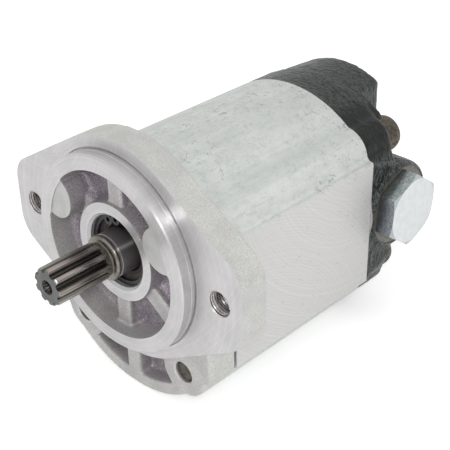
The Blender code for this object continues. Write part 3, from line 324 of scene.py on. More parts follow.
def marks(tree, distance, reach, soft, chance, share, strength, fade=0.05):
    # a mark where the distance is within reach, left out of all but a share of the places
    full, gone = reach * soft, reach
    inputs = {"Value": distance, "From Min": full, "From Max": gone, "To Min": strength, "To Max": 0}
    near = addNode(tree, "ShaderNodeMapRange", inputs, interpolation_type="SMOOTHSTEP")["Result"]
    inputs = {"Value": chance, "From Min": 1 - share, "From Max": 1 - share + fade}
    kept = addNode(tree, "ShaderNodeMapRange", inputs, interpolation_type="SMOOTHSTEP")["Result"]
    return addNode(tree, "ShaderNodeMath", {0: near, 1: kept}, operation="MULTIPLY")["Value"]


def specks(tree, place, cell, radius, share, strength=1.0, soft=0.5, stretch=(1, 1, 1), turn=(0, 0, 0)):
    # round dots, one to a cell
    laidOut = {"Vector": place, "Scale": stretch, "Rotation": radians(*turn)}
    source = addNode(tree, "ShaderNodeMapping", laidOut)["Vector"]
    inputs = {"Vector": source, "Scale": perMm(cell), "Randomness": 1.0}
    cells = addNode(tree, "ShaderNodeTexVoronoi", inputs)
    chance = addNode(tree, "ShaderNodeSeparateColor", {"Color": cells["Color"]})["Red"]
    return marks(tree, cells["Distance"], radius / cell, soft, chance, share, strength)


def scratches(tree, place, length, width, share, strength=1.0, stretch=(1, 1, 1), turn=(0, 0, 0)):
    # thin curved lines, broken up into short pieces
    path = clouds(tree, place, length, 2.0, 0.5, stretch, turn)
    offset = addNode(tree, "ShaderNodeMath", {0: path, 1: 0.5}, operation="SUBTRACT")["Value"]
    away = addNode(tree, "ShaderNodeMath", {0: offset}, operation="ABSOLUTE")["Value"]
    pieces = clouds(tree, place, length * 0.45, 3.0, 0.6, stretch, turn)
    return marks(tree, away, width / length, 0.3, pieces, share, strength)


def stepAlong(tree, vector, axis, start, end, low=0.0, high=1.0, unit=mm):
    # a soft step from one value to another along an axis
    along = addNode(tree, "ShaderNodeSeparateXYZ", {"Vector": vector})[axis]
    first, last = start * unit, end * unit
    inputs = {"Value": along, "From Min": first, "From Max": last, "To Min": low, "To Max": high}
    return addNode(tree, "ShaderNodeMapRange", inputs, interpolation_type="SMOOTHSTEP")["Result"]


def layered(tree, tone, *layers):
    # colours over the first tone, each by its amount, or where that goes from low to high
    for colour, amount, *steps in layers:
        if steps:
            inputs = dict(zip(("From Min", "From Max", "To Max"), steps), Value=amount)
            amount = addNode(tree, "ShaderNodeMapRange", inputs, interpolation_type="SMOOTHSTEP")["Result"]
        tone = addNode(tree, "ShaderNodeMix", {0: amount, 6: tone, 7: colour}, data_type="RGBA")[2]
    return tone


def weighed(tree, parts):
    # adds up reliefs or masks, each times its weight
    made = 0.0
    for source, weight in parts:
        inputs = {0: source, 1: weight, 2: made}
        made = addNode(tree, "ShaderNodeMath", inputs, operation="MULTIPLY_ADD")["Value"]
    return made


def closeMaterial(tree, shader, tone, gloss, relief):
    # gloss: pattern, low, high, smoothest, roughest; relief: height, depth in mm, strength
    inputs = dict(zip(("Value", "From Min", "From Max", "To Min", "To Max"), gloss))
    roughness = addNode(tree, "ShaderNodeMapRange", inputs, interpolation_type="SMOOTHSTEP")["Result"]
    height, depth, strength = relief
    inputs = {"Height": height, "Distance": depth * mm, "Strength": strength}
    normal = addNode(tree, "ShaderNodeBump", inputs)["Normal"]
    for key, source in {"Base Color": tone, "Roughness": roughness, "Normal": normal}.items():
        tree.links.new(source, shader.inputs[key])


def turnedSheen(tree, shader, place, amount):
    # highlights stretch across the turning lines, which run round the shaft's axis
    around = addNode(tree, "ShaderNodeVectorMath", {0: (0, 1, 0), 1: place}, operation="CROSS_PRODUCT")
    way = addNode(
        tree, "ShaderNodeVectorTransform", {"Vector": around["Vector"]},
        vector_type="VECTOR", convert_from="OBJECT", convert_to="WORLD",
    )
    tree.links.new(way["Vector"], shader.inputs["Tangent"])
    shader.inputs["Anisotropic"].default_value = amount
    shader.inputs["Anisotropic Rotation"].default_value = 0.25    # a quarter turn


def makeFinish(name, base, patterns, layers, gloss, relief, sheen=0.0):
    # base: colour, metallic, roughness; patterns: how each is drawn, with its sizes in mm;
    # layers: the first tone, then colours over it, each with its pattern, low, high and share
    material, tree, shader, place = startMaterial(name, *base)
    drawn = {key: draw(tree, place, *sizes) for key, (draw, *sizes) in patterns.items()}
    tone = layered(tree, layers[0], *[(colour, drawn[key], *steps) for colour, key, *steps in layers[1:]])
    weights, depth, strength = relief
    height = weighed(tree, [(drawn[key], weight) for key, weight in weights.items()])
    closeMaterial(tree, shader, tone, (drawn[gloss[0]], *gloss[1:]), (height, depth, strength))
    if sheen:
        turnedSheen(tree, shader, place, sheen)
    return material


def makeCastAluminium():
    # Gravity-cast aluminium, shot blasted: pale grey with a fine sparkling grain,
    # and darker, slightly purple skin down in the cored recesses, partly as-cast skin and partly painted
    # shade
    material, tree, shader, place = startMaterial("castAluminiumBlasted", "#C9C8C5", 0.45, 0.5)
    broad = clouds(tree, place, 9.0)
    fine = clouds(tree, place, 0.42, 2.0, 0.6)
    coarse = clouds(tree, place, 2.0)
    inner = layered(
        tree, "#8B828C", ("#9B9399", broad, 0.3, 0.7), ("#A79EA7", coarse, 0.42, 0.66, 0.35),
        ("#D2C9D1", fine, 0.52, 0.66, 0.75), ("#5F575F", fine, 0.5, 0.36, 0.55),
    )
    tone = layered(
        tree, "#C4C4C0", ("#D2D2CD", broad, 0.35, 0.65), ("#B5B5B2", fine, 0.6, 0.32),
        ("#E9E9E6", fine, 0.6, 0.72, 0.5), ("#5C5957", specks(tree, place, 3.8, 0.3, 0.25, 0.7)),
        # the recess skin laid on by the core share: as-cast skin, with painted shade deeper in and in
        # corners
        (inner, addNode(tree, "ShaderNodeAttribute", attribute_name="core")["Fac"]),
    )
    height = weighed(tree, [(fine, 0.7), (coarse, 1.0)])
    closeMaterial(tree, shader, tone, (fine, 0.2, 0.8, 0.4, 0.6), (height, 0.2, 0.6))
    return material


def makeExtrudedAluminium():
    # Extruded aluminium, lightly etched: soft banding along the section, a cloudy grey-green
    # skin, and the dark scuffs, scratches and nicks of handling
    material, tree, shader, place = startMaterial("extrudedAluminium", "#CDD1CC", 0.35, 0.5)
    lines = clouds(tree, place, 0.8, 3.0, 0.6, (1, 0.02, 1))
    mottle = clouds(tree, place, 2.6, 5.0, 0.7, (1, 0.6, 1))
    fine = clouds(tree, place, 0.7, 3.0, 0.7)
    scuff = clouds(tree, place, 1.3, 5.0, 0.75, (1, 0.4, 1), (10, 25, 15))

    # the handling marks come in patches
    wide = clouds(tree, place, 24.0, 2.0)
    inputs = {"Value": wide, "From Min": 0.4, "From Max": 0.62, "To Min": 0.1, "To Max": 0.5}
    patch = addNode(tree, "ShaderNodeMapRange", inputs, interpolation_type="SMOOTHSTEP")["Result"]
    weaker = addNode(tree, "ShaderNodeMath", {0: patch, 1: 0.8}, operation="MULTIPLY")["Value"]
    dashes = specks(tree, place, 3.0, 0.22, 0.2, patch, 0.4, (1, 0.3, 1), (0, -25, 35))
    flecks = specks(tree, place, 3.6, 0.2, 0.2, patch, 0.4, (0.4, 1, 1), (10, 30, -20))
    tone = layered(
        tree, "#C6CAC6",
        ("#D3D6D2", clouds(tree, place, 6.0, 2.0, 0.55, (1, 0.03, 1)), 0.3, 0.7),
        ("#B7BBB8", lines, 0.35, 0.7, 0.25),
        ("#B3B9B8", mottle, 0.45, 0.68, 0.4),
        ("#DFE2DF", clouds(tree, place, 13.0, 4.0), 0.4, 0.7, 0.3),
        ("#E9ECE9", fine, 0.55, 0.72, 0.35),
        ("#979C9C", scuff, 0.58, 0.68, 0.35),
        ("#7A8081", scratches(tree, place, 8.0, 0.11, 0.5, patch)),
        ("#808687", scratches(tree, place, 4.5, 0.09, 0.48, patch, (1, 0.8, 1), (40, 25, 70))),
        ("#6E7475", weighed(tree, [(dashes, 1.0), (flecks, 1.0)])),
        ("#63686A", specks(tree, place, 5.0, 0.45, 0.22, weaker, 0.3, (1, 0.45, 1), (0, 20, 10))),
    )
    height = weighed(tree, [(lines, 1.0), (fine, 0.5)])
    closeMaterial(tree, shader, tone, (mottle, 0.25, 0.75, 0.42, 0.58), (height, 0.06, 0.5))
    return material


paintZones = {                 # mm from the casing's middle plane or axis, start and end of each step; they place painted glints, shade and sheen
    "padFade": (2.2, 0.6),     # in from the face of the side pads
    "shoulderRise": (27, 31),
    "shoulderReach": (22, 29),
    "humpReach": (26, 18),
}


def makeBlackPaint():
    # Black enamel over a coarse sand casting: the sand's grain shows through as pits and wrinkles,
    # with pale lines and a paler hump as painted glints and sheen, a near-black shoulder as painted shade,
    # and the paint thin on raised spots
    material, tree, shader, place = startMaterial("blackEnamelOverSandCasting", "#111414", 0.0, 0.34)
    inputs = {"Vector": place, "Scale": (0.5, 1, 0.9), "Rotation": radians(20, 0, 30)}
    lying = addNode(tree, "ShaderNodeMapping", inputs)["Vector"]
    inputs = {"Vector": place, "Rotation": radians(25, 0, 0)}
    leaning = addNode(tree, "ShaderNodeMapping", inputs)["Vector"]
    coarse = clouds(tree, place, 1.6, 2.0, 0.5, (1, 1, 0.45))
    folds = clouds(tree, lying, 2.6)
    sand = clouds(tree, place, 0.5, 3.0, 0.65)

    # how far out a point is: on the side pads, on the shoulder, on the hump, where painted glints, shade
    # and sheen go
    inputs = {"Vector": place, "Location": (0, 0, -caseMiddle * mm)}
    centred = addNode(tree, "ShaderNodeMapping", inputs)["Vector"]
    out = addNode(tree, "ShaderNodeVectorMath", {0: centred}, operation="ABSOLUTE")["Vector"]
    onPad = stepAlong(tree, out, "X", *[padReach - inward for inward in paintZones["padFade"]])
    beside = stepAlong(tree, out, "X", *paintZones["shoulderReach"])
    onShoulder = stepAlong(tree, out, "Z", *paintZones["shoulderRise"], high=beside)
    inputs = {"Value": onPad, "To Min": 0.13, "To Max": 0.34}
    ridgeGlintShare = addNode(tree, "ShaderNodeMapRange", inputs, interpolation_type="SMOOTHSTEP")["Result"]
    inputs = {"Value": coarse, "From Min": 0.4, "From Max": 0.62, "To Min": 0.1, "To Max": 0.45}
    humpSheenShare = addNode(tree, "ShaderNodeMapRange", inputs, interpolation_type="SMOOTHSTEP")["Result"]
    # near-black on the shoulder: painted shade, as it faces away from the light
    dark = addNode(tree, "ShaderNodeMath", {0: onShoulder, 1: 0.85}, operation="MULTIPLY")["Value"]

    edge = addNode(tree, "ShaderNodeAttribute", attribute_name="edge")["Fac"]
    tone = layered(
        tree, "#0A0C0C",
        ("#161A19", clouds(tree, place, 12.0), 0.3, 0.7),
        ("#262B2A", coarse, 0.46, 0.64, 0.5),
        # two nets of pale lines: painted glints on the wrinkles, the first stronger on the side pads
        ("#858E8B", scratches(tree, leaning, 1.7, 0.085, 0.9, ridgeGlintShare, (1, 1, 0.3))),
        ("#6C7573", scratches(tree, lying, 3.0, 0.11, 0.7, 0.2, (0.6, 1, 1))),
        # paler on the hump: painted sheen
        ("#3E4543", stepAlong(tree, out, "X", *paintZones["humpReach"], high=humpSheenShare)),
        # near-black on the shoulder: painted shade
        ("#050606", dark),
        ("#5A6260", edge, 0.2, 0.9, 0.4),
        ("#8A908F", specks(tree, place, 4.0, 0.24, 0.12, 0.5)),
    )
    inputs = {"Value": onShoulder, "To Min": 1.0, "To Max": 0.35}
    calm = addNode(tree, "ShaderNodeMapRange", inputs, interpolation_type="SMOOTHSTEP")["Result"]
    height = weighed(tree, [(weighed(tree, [(coarse, 1.0), (folds, 1.0), (sand, 0.2)]), calm)])
    shader.inputs["Specular IOR Level"].default_value = 0.25
    closeMaterial(tree, shader, tone, (sand, 0.25, 0.75, 0.24, 0.38), (height, 0.8, 1.0))
    return material


def makeSplineSteel():
    # Hobbed spline: the cutter's lines run along the teeth, which are rubbed paler; the darker grooves are
    # painted shade and the pale streaks painted glints
    material, tree, shader, place = startMaterial("splineSteel", "#8A8880", 1.0, 0.3)
    streaks = clouds(tree, place, 0.55, 2.0, 0.5, (1, 0.006, 1))
    tint = clouds(tree, place, 3.0, 2.0, 0.55, (1, 0.03, 1))
    teeth = layered(
        tree, "#8E9086", ("#A89D9B", tint, 0.42, 0.58), ("#76736C", streaks, 0.6, 0.38),
        # pale streaks: painted glints along the cutter's lines
        ("#D2CDC9", streaks, 0.58, 0.7, 0.5),
    )
    # dark grooves, with the teeth laid over them by radius: painted shade between the teeth
    tone = layered(
        tree, "#2E2B29", ("#5C5854", streaks, 0.45, 0.65),
        (teeth, radiusFrom(tree, place, "Y"), 6.3, 7.5),
    )
    closeMaterial(tree, shader, tone, (streaks, 0.3, 0.7, 0.24, 0.34), (streaks, 0.02, 0.4))
    return material


def makeZincFlats():
    # Zinc over cold-drawn hexagon bar: darker blue-grey, with a coarse crystal grain
    # and drawing streaks along the bar; painted shade darkens it towards the root and on the lower flats
    material, tree, shader, place = startMaterial("zincPlatedHexagon", "#9EA6A4", 0.8, 0.36)
    streaks = clouds(tree, place, 0.8, 3.0, 0.6, (0.06, 1, 1))
    crystals = clouds(tree, place, 0.9, 4.0, 0.75)
    facing = addNode(tree, "ShaderNodeTexCoord")["Normal"]
    tone = layered(
        tree, "#78837F", ("#B4BDB9", crystals, 0.36, 0.64), ("#7E8090", streaks, 0.35, 0.7, 0.35),
        # darker towards the root, next to the boss: painted shade
        ("#52545C", stepAlong(tree, place, "X", 52.4, 46.4, high=0.5)),
        # darker, bluish lower flats: painted shade
        ("#5E5A74", stepAlong(tree, facing, "Z", 0.5, 0.2, high=0.35, unit=1)),
    )
    height = weighed(tree, [(crystals, 1.0), (streaks, 0.5)])
    closeMaterial(tree, shader, tone, (crystals, 0.3, 0.7, 0.28, 0.44), (height, 0.08, 0.7))
    return material


def makeOiledSteel(name, dark, pale):
    # Turned steel left dark and oiled, with fine lines round the shaft
    return makeFinish(
        name, (pale, 1.0, 0.3), {"lines": (rings, "Y", 0.35), "cloud": (clouds, 4.0)},
        [dark, (pale, "cloud", 0.35, 0.65), (dark, "lines", 0.4, 0.7, 0.25)],
        ("lines", 0.3, 0.7, 0.26, 0.36), ({"lines": 1}, 0.01, 0.3),
    )


def makeZincPlate(name, dark, pale):
    # Zinc-plated turned steel: pale bluish white, slightly cloudy, with faint rings
    patterns = {
        "across": (rings, "X", 0.5, galleryAxis), "cloud": (clouds, 3.0, 4.0),
        "pits": (specks, 4.0, 0.28, 0.12, 0.7),
    }
    return makeFinish(
        name, (pale, 0.5, 0.38), patterns,
        [dark, (pale, "cloud", 0.3, 0.7), (dark, "across", 0.3, 0.7, 0.2), ("#6F7577", "pits")],
        ("cloud", 0.3, 0.7, 0.32, 0.44), ({"cloud": 1}, 0.03, 0.4),
    )


castAluminium = makeCastAluminium()
extrudedAluminium = makeExtrudedAluminium()
blackPaint = makeBlackPaint()
splineSteel = makeSplineSteel()
zincFlats = makeZincFlats()
beadSteel = makeOiledSteel("turnedBeadSteel", "#6F6C64", "#8A847E")
endSteel = makeOiledSteel("facedShaftEnd", "#5A5B5B", "#666767")
zincPlate = makeZincPlate("zincPlatedFace", "#D3D8D9", "#E0E3E3")
# a greyer copy of the face's zinc: painted shade for the plug's chamfer
shadedZincChamfer = makeZincPlate("zincPlatedChamferShaded", "#A9AFAE", "#BCC2C1")
zincEdge = makeZincPlate("zincPlatedEdge", "#E4E8E8", "#F2F4F4")
washerZinc = makeZincPlate("zincPlatedWasher", "#9DA1A2", "#B9BDBD")

# Flat spots left by the die inside the recess: smooth, plain grey
castLand = makeFinish(
    "castAluminiumLand", ("#BEBEBC", 0.4, 0.5), {"cloud": (clouds, 5.0), "fine": (clouds, 0.8)},
    ["#BABAB8", ("#C5C5C3", "cloud", 0.3, 0.7), ("#D0D0CE", "fine", 0.5, 0.75, 0.3)],
    ("fine", 0.3, 0.7, 0.42, 0.56), ({"fine": 1}, 0.04, 0.4),
)

# Aluminium faced on a lathe: bright, with fine uneven rings round the shaft's axis,
# faint crossing arcs from a facing cutter, and a few open pores
turnedPatterns = {
    "lines": (rings, "Y", 0.3), "bands": (rings, "Y", 2.2), "sweep": (rings, "Y", 1.0, (-48, 0, 62)),
    "cloud": (clouds, 16.0), "pores": (specks, 6.5, 0.3, 0.25, 0.7),
}
turnedLayers = [
    "#BEBDBD", ("#CDCBCC", "cloud", 0.3, 0.7), ("#A9A6A8", "lines", 0.3, 0.7, 0.25),
    ("#DEDCDD", "bands", 0.4, 0.7, 0.2), ("#E8E6E6", "sweep", 0.5, 0.66, 0.12), ("#6A6665", "pores"),
]
turnedAluminium = makeFinish(
    "turnedAluminium", ("#C6C5C4", 0.7, 0.34), turnedPatterns, turnedLayers,
    ("lines", 0.25, 0.75, 0.28, 0.42), ({"lines": 0.6, "sweep": 0.12}, 0.03, 0.5), 0.75,
)

# Milled pad: nearly white, with shallow crossing arcs from the face cutter
milledPatterns = {
    "arcs": (rings, "X", 0.5, (0, 20, -70)), "back": (rings, "X", 1.1, (0, 96, 40)),
    "pits": (specks, 5.0, 0.35, 0.2, 0.7), "scratches": (scratches, 6.0, 0.14, 0.42, 0.3),
}
milledLayers = [
    "#D6D5D3", ("#BCBBB9", "arcs", 0.3, 0.7, 0.35), ("#E6E5E3", "back", 0.45, 0.7, 0.25),
    ("#77746F", "pits"), ("#96948F", "scratches"),
]
milledAluminium = makeFinish(
    "milledAluminium", ("#D6D5D3", 0.25, 0.5), milledPatterns, milledLayers,
    ("arcs", 0.25, 0.75, 0.44, 0.58), ({"arcs": 1, "back": 0.5}, 0.05, 0.5),
)

# Spot-faced cast iron, bare under the paint: beige grey with fine cutter rings
facedIron = makeFinish(
    "facedCastIron", ("#8C857C", 0.6, 0.38),
    {"across": (rings, "X", 0.4, galleryAxis), "cloud": (clouds, 3.0, 4.0)},
    ["#69665D", ("#807D74", "cloud", 0.3, 0.7), ("#57514A", "across", 0.3, 0.7, 0.35)],
    ("across", 0.25, 0.75, 0.28, 0.46), ({"across": 1}, 0.05, 0.5),
)

# Case-hardened steel, left dark by the furnace and oiled: brown-grey with a soft gloss
darkSteel = makeFinish(
    "hardenedSteelOiled", ("#77736C", 1.0, 0.34),
    {"streaks": (clouds, 0.5, 3.0, 0.6, (1, 0.02, 1)), "cloud": (clouds, 3.0)},
    ["#6A665F", ("#86827A", "streaks", 0.35, 0.65), ("#9C968E", "cloud", 0.5, 0.7, 0.25)],
    ("streaks", 0.3, 0.7, 0.26, 0.4), ({"streaks": 1}, 0.04, 0.5),
)

# Ground and hardened journal: dark and mirror-like, with grinding lines round the shaft
groundSteel = makeFinish(
    "groundSteelJournal", ("#858183", 1.0, 0.33), {"lines": (bands, "Y", 0.25)},
    ["#7A7678", ("#8F8B8D", "lines", 0.3, 0.7)],
    ("lines", 0.25, 0.75, 0.3, 0.36), ({"lines": 1}, 0.01, 0.3), 0.95,
)

# Cut thread flanks; the roots between them are dark with old oil and painted shade
tappedAluminium = makeFinish(
    "tappedAluminium", ("#C4C0C0", 0.8, 0.3), {"cloud": (clouds, 1.4, 4.0)},
    ["#A39F9F", ("#C6C2C2", "cloud", 0.35, 0.65)],
    ("cloud", 0.3, 0.7, 0.26, 0.36), ({"cloud": 1}, 0.01, 0.2),
)

# Wall of a tapped hole between the turns, dark with oil and with painted shade
threadRoot = makeFinish(
    "oiledAndShadedThreadRoot", ("#4C4848", 0.6, 0.4), {"cloud": (clouds, 1.4, 4.0)},
    ["#3E3A3A", ("#5C5757", "cloud", 0.35, 0.65)],
    ("cloud", 0.3, 0.7, 0.34, 0.46), ({"cloud": 1}, 0.02, 0.3),
)

# Black-oxide screw steel: brown-black, matt, oily in the grooves
boltSteel = makeFinish(
    "blackOxideSteel", ("#4A4540", 0.8, 0.42),
    {"cloud": (clouds, 2.0, 4.0), "rubs": (specks, 1.8, 0.25, 0.35, 0.6)},
    ["#3C3833", ("#655F57", "cloud", 0.3, 0.7), ("#9A938A", "rubs")],
    ("cloud", 0.3, 0.7, 0.34, 0.5), ({"cloud": 1}, 0.06, 0.5),
)

# The same screw steel where hands and bins have rubbed the oxide off its knurls
wornSteel = makeFinish(
    "rubbedOxideSteel", ("#8C8277", 0.8, 0.4), {"cloud": (clouds, 1.2, 4.0)},
    ["#4E4740", ("#786F64", "cloud", 0.35, 0.65)],
    ("cloud", 0.3, 0.7, 0.34, 0.48), ({"cloud": 1}, 0.03, 0.4),
)

# Moulded nitrile rubber: brown-black, matt, with a faint mould grain and dust
rubber = makeFinish(
    "nitrileRubber", ("#2A2320", 0.0, 0.55), {"cloud": (clouds, 1.6, 4.0), "fine": (clouds, 0.4)},
    ["#1D1815", ("#4A3D36", "cloud", 0.35, 0.75)],
    ("cloud", 0.3, 0.7, 0.45, 0.65), ({"fine": 1}, 0.05, 0.5),
)

# Phosphated spring steel: dark grey, fine matt crystals with a low gloss
springSteel = makeFinish(
    "phosphatedSpringSteel", ("#38383A", 0.8, 0.36), {"fine": (clouds, 0.5, 4.0)},
    ["#2A2A2C", ("#4C4C4F", "fine", 0.3, 0.7)],
    ("fine", 0.3, 0.7, 0.3, 0.46), ({"fine": 1}, 0.03, 0.5),
)

# Rolled bearing bronze: warm, smooth, with bore lines round the shaft
bronze = makeFinish(
    "bearingBronze", ("#B5813F", 0.95, 0.3), {"cloud": (clouds, 3.0), "lines": (rings, "Y", 0.3)},
    ["#A87638", ("#C6924C", "cloud", 0.3, 0.7)],
    ("cloud", 0.3, 0.7, 0.24, 0.38), ({"lines": 1}, 0.02, 0.5),
)

# Pressure-cast bearing aluminium, machined all over: warm grey with fine cutter lines
bearingAluminium = makeFinish(
    "bearingAluminium", ("#BBB6AC", 0.8, 0.34),
    {"lines": (rings, "Y", 0.5, (18, 0, 10)), "cloud": (clouds, 5.0)},
    ["#AFAAA0", ("#C7C2B8", "cloud", 0.3, 0.7)],
    ("lines", 0.25, 0.75, 0.28, 0.42), ({"lines": 1}, 0.03, 0.5),
)
print("materials made:", len(bpy.data.materials))


caseShape = {
    "bossRadius": 11.5,        # bulges over the screws, right side
    "leftBossRadius": 10.4,
    "bossFillet": 2.5,
    "padHalfHeight": 29.35,
    "padCorner": 0.9,
}
bossRise = (upperZ - lowerZ) / 2


def caseQuarter(boss, grow):
    # round top, bulge, its hollow fillet and the corner of the pad, about the casing's middle
    radius = caseRadius + grow
    distance = math.hypot(screwX, bossRise)
    swell = boss + grow
    opening = math.acos((radius ** 2 + distance ** 2 - swell ** 2) / (2 * radius * distance))
    meet = math.degrees(math.atan2(bossRise, screwX) + opening)
    meetX, meetZ = radius * math.cos(math.radians(meet)), radius * math.sin(math.radians(meet))
    fillet = caseShape["bossFillet"]
    filletZ = caseShape["padHalfHeight"] + fillet
    filletX = screwX + math.sqrt((boss + fillet) ** 2 - (filletZ - bossRise) ** 2)
    start = math.degrees(math.atan2(meetZ - bossRise, meetX - screwX))
    end = math.degrees(math.atan2(filletZ - bossRise, filletX - screwX))
    corner = caseShape["padCorner"]
    quarter = arcPoints((0, 0), radius, 90, meet, 14)
    quarter += arcPoints((screwX, bossRise), swell, start, end, 16)[1:]
    quarter += arcPoints((filletX, filletZ), fillet - grow, end + 180, 270, 6)[1:]
    middle = (padReach + grow - corner, caseShape["padHalfHeight"] + grow - corner)
    return quarter + arcPoints(middle, corner, 90, 0, 4)


def caseOutline(grow=0.0):
    quarters = [caseQuarter(caseShape[key], grow) for key in ("bossRadius", "leftBossRadius")]
    return [(x, z + caseMiddle) for x, z in mirrored(*quarters)]


cover = {
    "flangeThickness": 12.7,
    "roundRadius": 46.6,       # the flange's round middle
    "earCorner": 13.0,
    "earTaper": 31.5,
    "pilotRadius": 41.275,
    "pilotChamfer": 0.6,
    "undercut": (0.5, 0.55),   # width and depth of the groove round the pilot's foot
    "scribe": (-2.0, 0.16),    # place and half width of the fine line round the pilot
    "lowerFace": 2.0,
    "recessRadius": 34.85,
    "recessFloor": 5.15,
    "landHeight": -6.0,
    "landRadius": 9.2,
    "landRise": 0.9,
    "ribTop": -0.75,
    "ribHalfWidths": (3.9, 4.7, 7.4),   # at its top, near the floor and at its spread foot
    "landFlare": 1.0,
    "hubFlare": 3.4,
    "ribAngles": (90, 270, 324, 216),
    "webAngles": (26, 154),    # low webs from the hub to the lands
    "webTop": 1.4,
    "hubRadius": 20.4,
    "hubTop": -2.85,
    "pocketRim": 5.3,
    "pocketDepth": 7.0,
    "pocketBossRadius": 11.4,
    "pocketSpan": (-3, 15),    # how far the cutters of the pockets reach
    "mountX": 53.2,
    "threadRadius": 5.0,
    "screwThread": (4.6, 5.2),  # its crest and its root
    "screwEnd": 3.4,           # the lower screws' ends show this far back
    "landFacing": 34.3,        # radii of the cutters for the lands and the hub
    "hubFacing": 22.6,
    "sealBore": (15.2, 11.35),  # radius and bottom
    "ringGroove": (0.9, -0.21, 1.39),   # depth, start and end
    "dowel": (3.2, 5.7, 41.7),  # radius, depth, distance from the casing's middle
    "prySlot": (1.5, 1.4, 31),  # depth from the side and from the joint, half height
    "stock": 2.6,              # left on every face that is machined afterwards
    "voxel": 0.66,
    "relax": 6,
}
beyond = 99                    # mm, past every piece, for cutters


def flangeOutline():
    turn = 90 - cover["earTaper"]
    cornerX = frontHigh.x - cover["earCorner"]
    lean = math.radians(turn)
    cornerZ = (cover["roundRadius"] - cover["earCorner"] - math.cos(lean) * cornerX) / math.sin(lean)
    quarter = arcPoints((0, 0), cover["roundRadius"], 90, turn, 20)
    quarter += arcPoints((cornerX, cornerZ), cover["earCorner"], turn, 0, 14)
    return mirrored(quarter, quarter)


def ribBlank(angle, top, topHalf, footHalf):
    # a tapered bar from the axis to the pilot
    floor = cover["recessFloor"] + 1
    points = []
    for x in (0, cover["pilotRadius"]):
        points += [(x, top, -topHalf), (x, top, topHalf), (x, floor, -footHalf), (x, floor, footHalf)]
    rib = hull(points)
    rib.data.transform(Matrix.Rotation(-math.radians(angle), 4, "Y"))
    return rib


def covedStem(radius, top, flare):
    # a round stem that widens in a hollow curve where it meets the floor
    floor = cover["recessFloor"]
    return [
        (0, floor + 1), (radius + flare, floor + 1), (radius + flare, floor),
        (radius + flare * 0.5, floor - 0.9), (radius + flare * 0.22, floor - 2.2),
        (radius + 0.3, floor - 4.0), (radius, top), (0, top),
    ]


def makeRecess():
    # what the core leaves hollow inside the pilot
    floor = cover["recessFloor"]
    wall = cover["recessRadius"]
    front = frontLow.y - cover["stock"] - 1
    recess = turned([
        (0, floor), (wall - 2.6, floor), (wall - 1.3, floor - 0.7), (wall - 0.6, floor - 2.2),
        (wall, frontLow.y), (wall, front), (0, front),
    ])
    for side in (1, -1):
        centre = (side * screwX, 0, upperZ + cover["landRise"])
        land = covedStem(cover["landRadius"], front, cover["landFlare"])
        combine(recess, turned(land, centre=centre, steps=64))
    half, foot, spread = cover["ribHalfWidths"]
    for angle in cover["ribAngles"]:
        combine(recess, ribBlank(angle, cover["ribTop"], half, foot))
        combine(recess, ribBlank(angle, floor - 2.4, foot, spread))
    for angle in cover["webAngles"]:
        combine(recess, ribBlank(angle, cover["webTop"], foot, spread))
    top = cover["hubTop"] - cover["stock"]
    return combine(recess, turned(covedStem(cover["hubRadius"], top, cover["hubFlare"])))


def makeLowerPockets():
    # hollows in the set-back face under the flange, with a web between them
    face = cover["lowerFace"]
    depth = face + cover["pocketDepth"]
    far = 3 * caseRadius
    rim = caseRadius - cover["pocketRim"]
    half = cover["ribHalfWidths"][0]
    start, end = cover["pocketSpan"]
    profile = [(0, depth), (rim - 0.7, depth), (rim, face), (rim, face - 2), (0, face - 2)]
    pocket = turned(profile, centre=(0, 0, caseMiddle))
    combine(pocket, drum(cover["roundRadius"] + 0.8, start, end, steps=96))
    combine(pocket, box((-half, start, -far), (half, end, 0)))
    combine(pocket, box((-far, start, caseMiddle), (far, end, far)))
    for side in (-1, 1):
        combine(pocket, drum(cover["pocketBossRadius"], start, end, centre=(side * screwX, 0, lowerZ)))
        inner, outer = sorted((side * screwX, side * far))
        combine(pocket, box((inner, start, -far), (outer, end, 0)))
    return pocket


def faceCover(blank):
    # machined faces: mounting face, pilot with its undercut, ring, lands, hub and joint
    pilot, bevel = cover["pilotRadius"], cover["pilotChamfer"]
    width, depth = cover["undercut"]
    front = frontLow.y
    scribe, half = cover["scribe"]
    facing = turned([
        (0, front - 4), (0, front), (pilot - bevel, front), (pilot, front + bevel), (pilot, scribe - half),
        (pilot - half, scribe), (pilot, scribe + half), (pilot, depth), (pilot + width * 0.4, depth),
        (pilot + width, 0), (90, 0), (90, front - 4),
    ], steps=192, ring=True)
    combine(blank, facing, turnedAluminium)
    combine(blank, drum(cover["landFacing"], front - 4, cover["landHeight"], steps=96), castLand)
    combine(blank, drum(cover["hubFacing"], front - 4, cover["hubTop"], steps=96), turnedAluminium)
    joint = frontHigh.y
    combine(blank, box((-beyond, joint, -beyond), (beyond, joint + 9, beyond)), turnedAluminium)


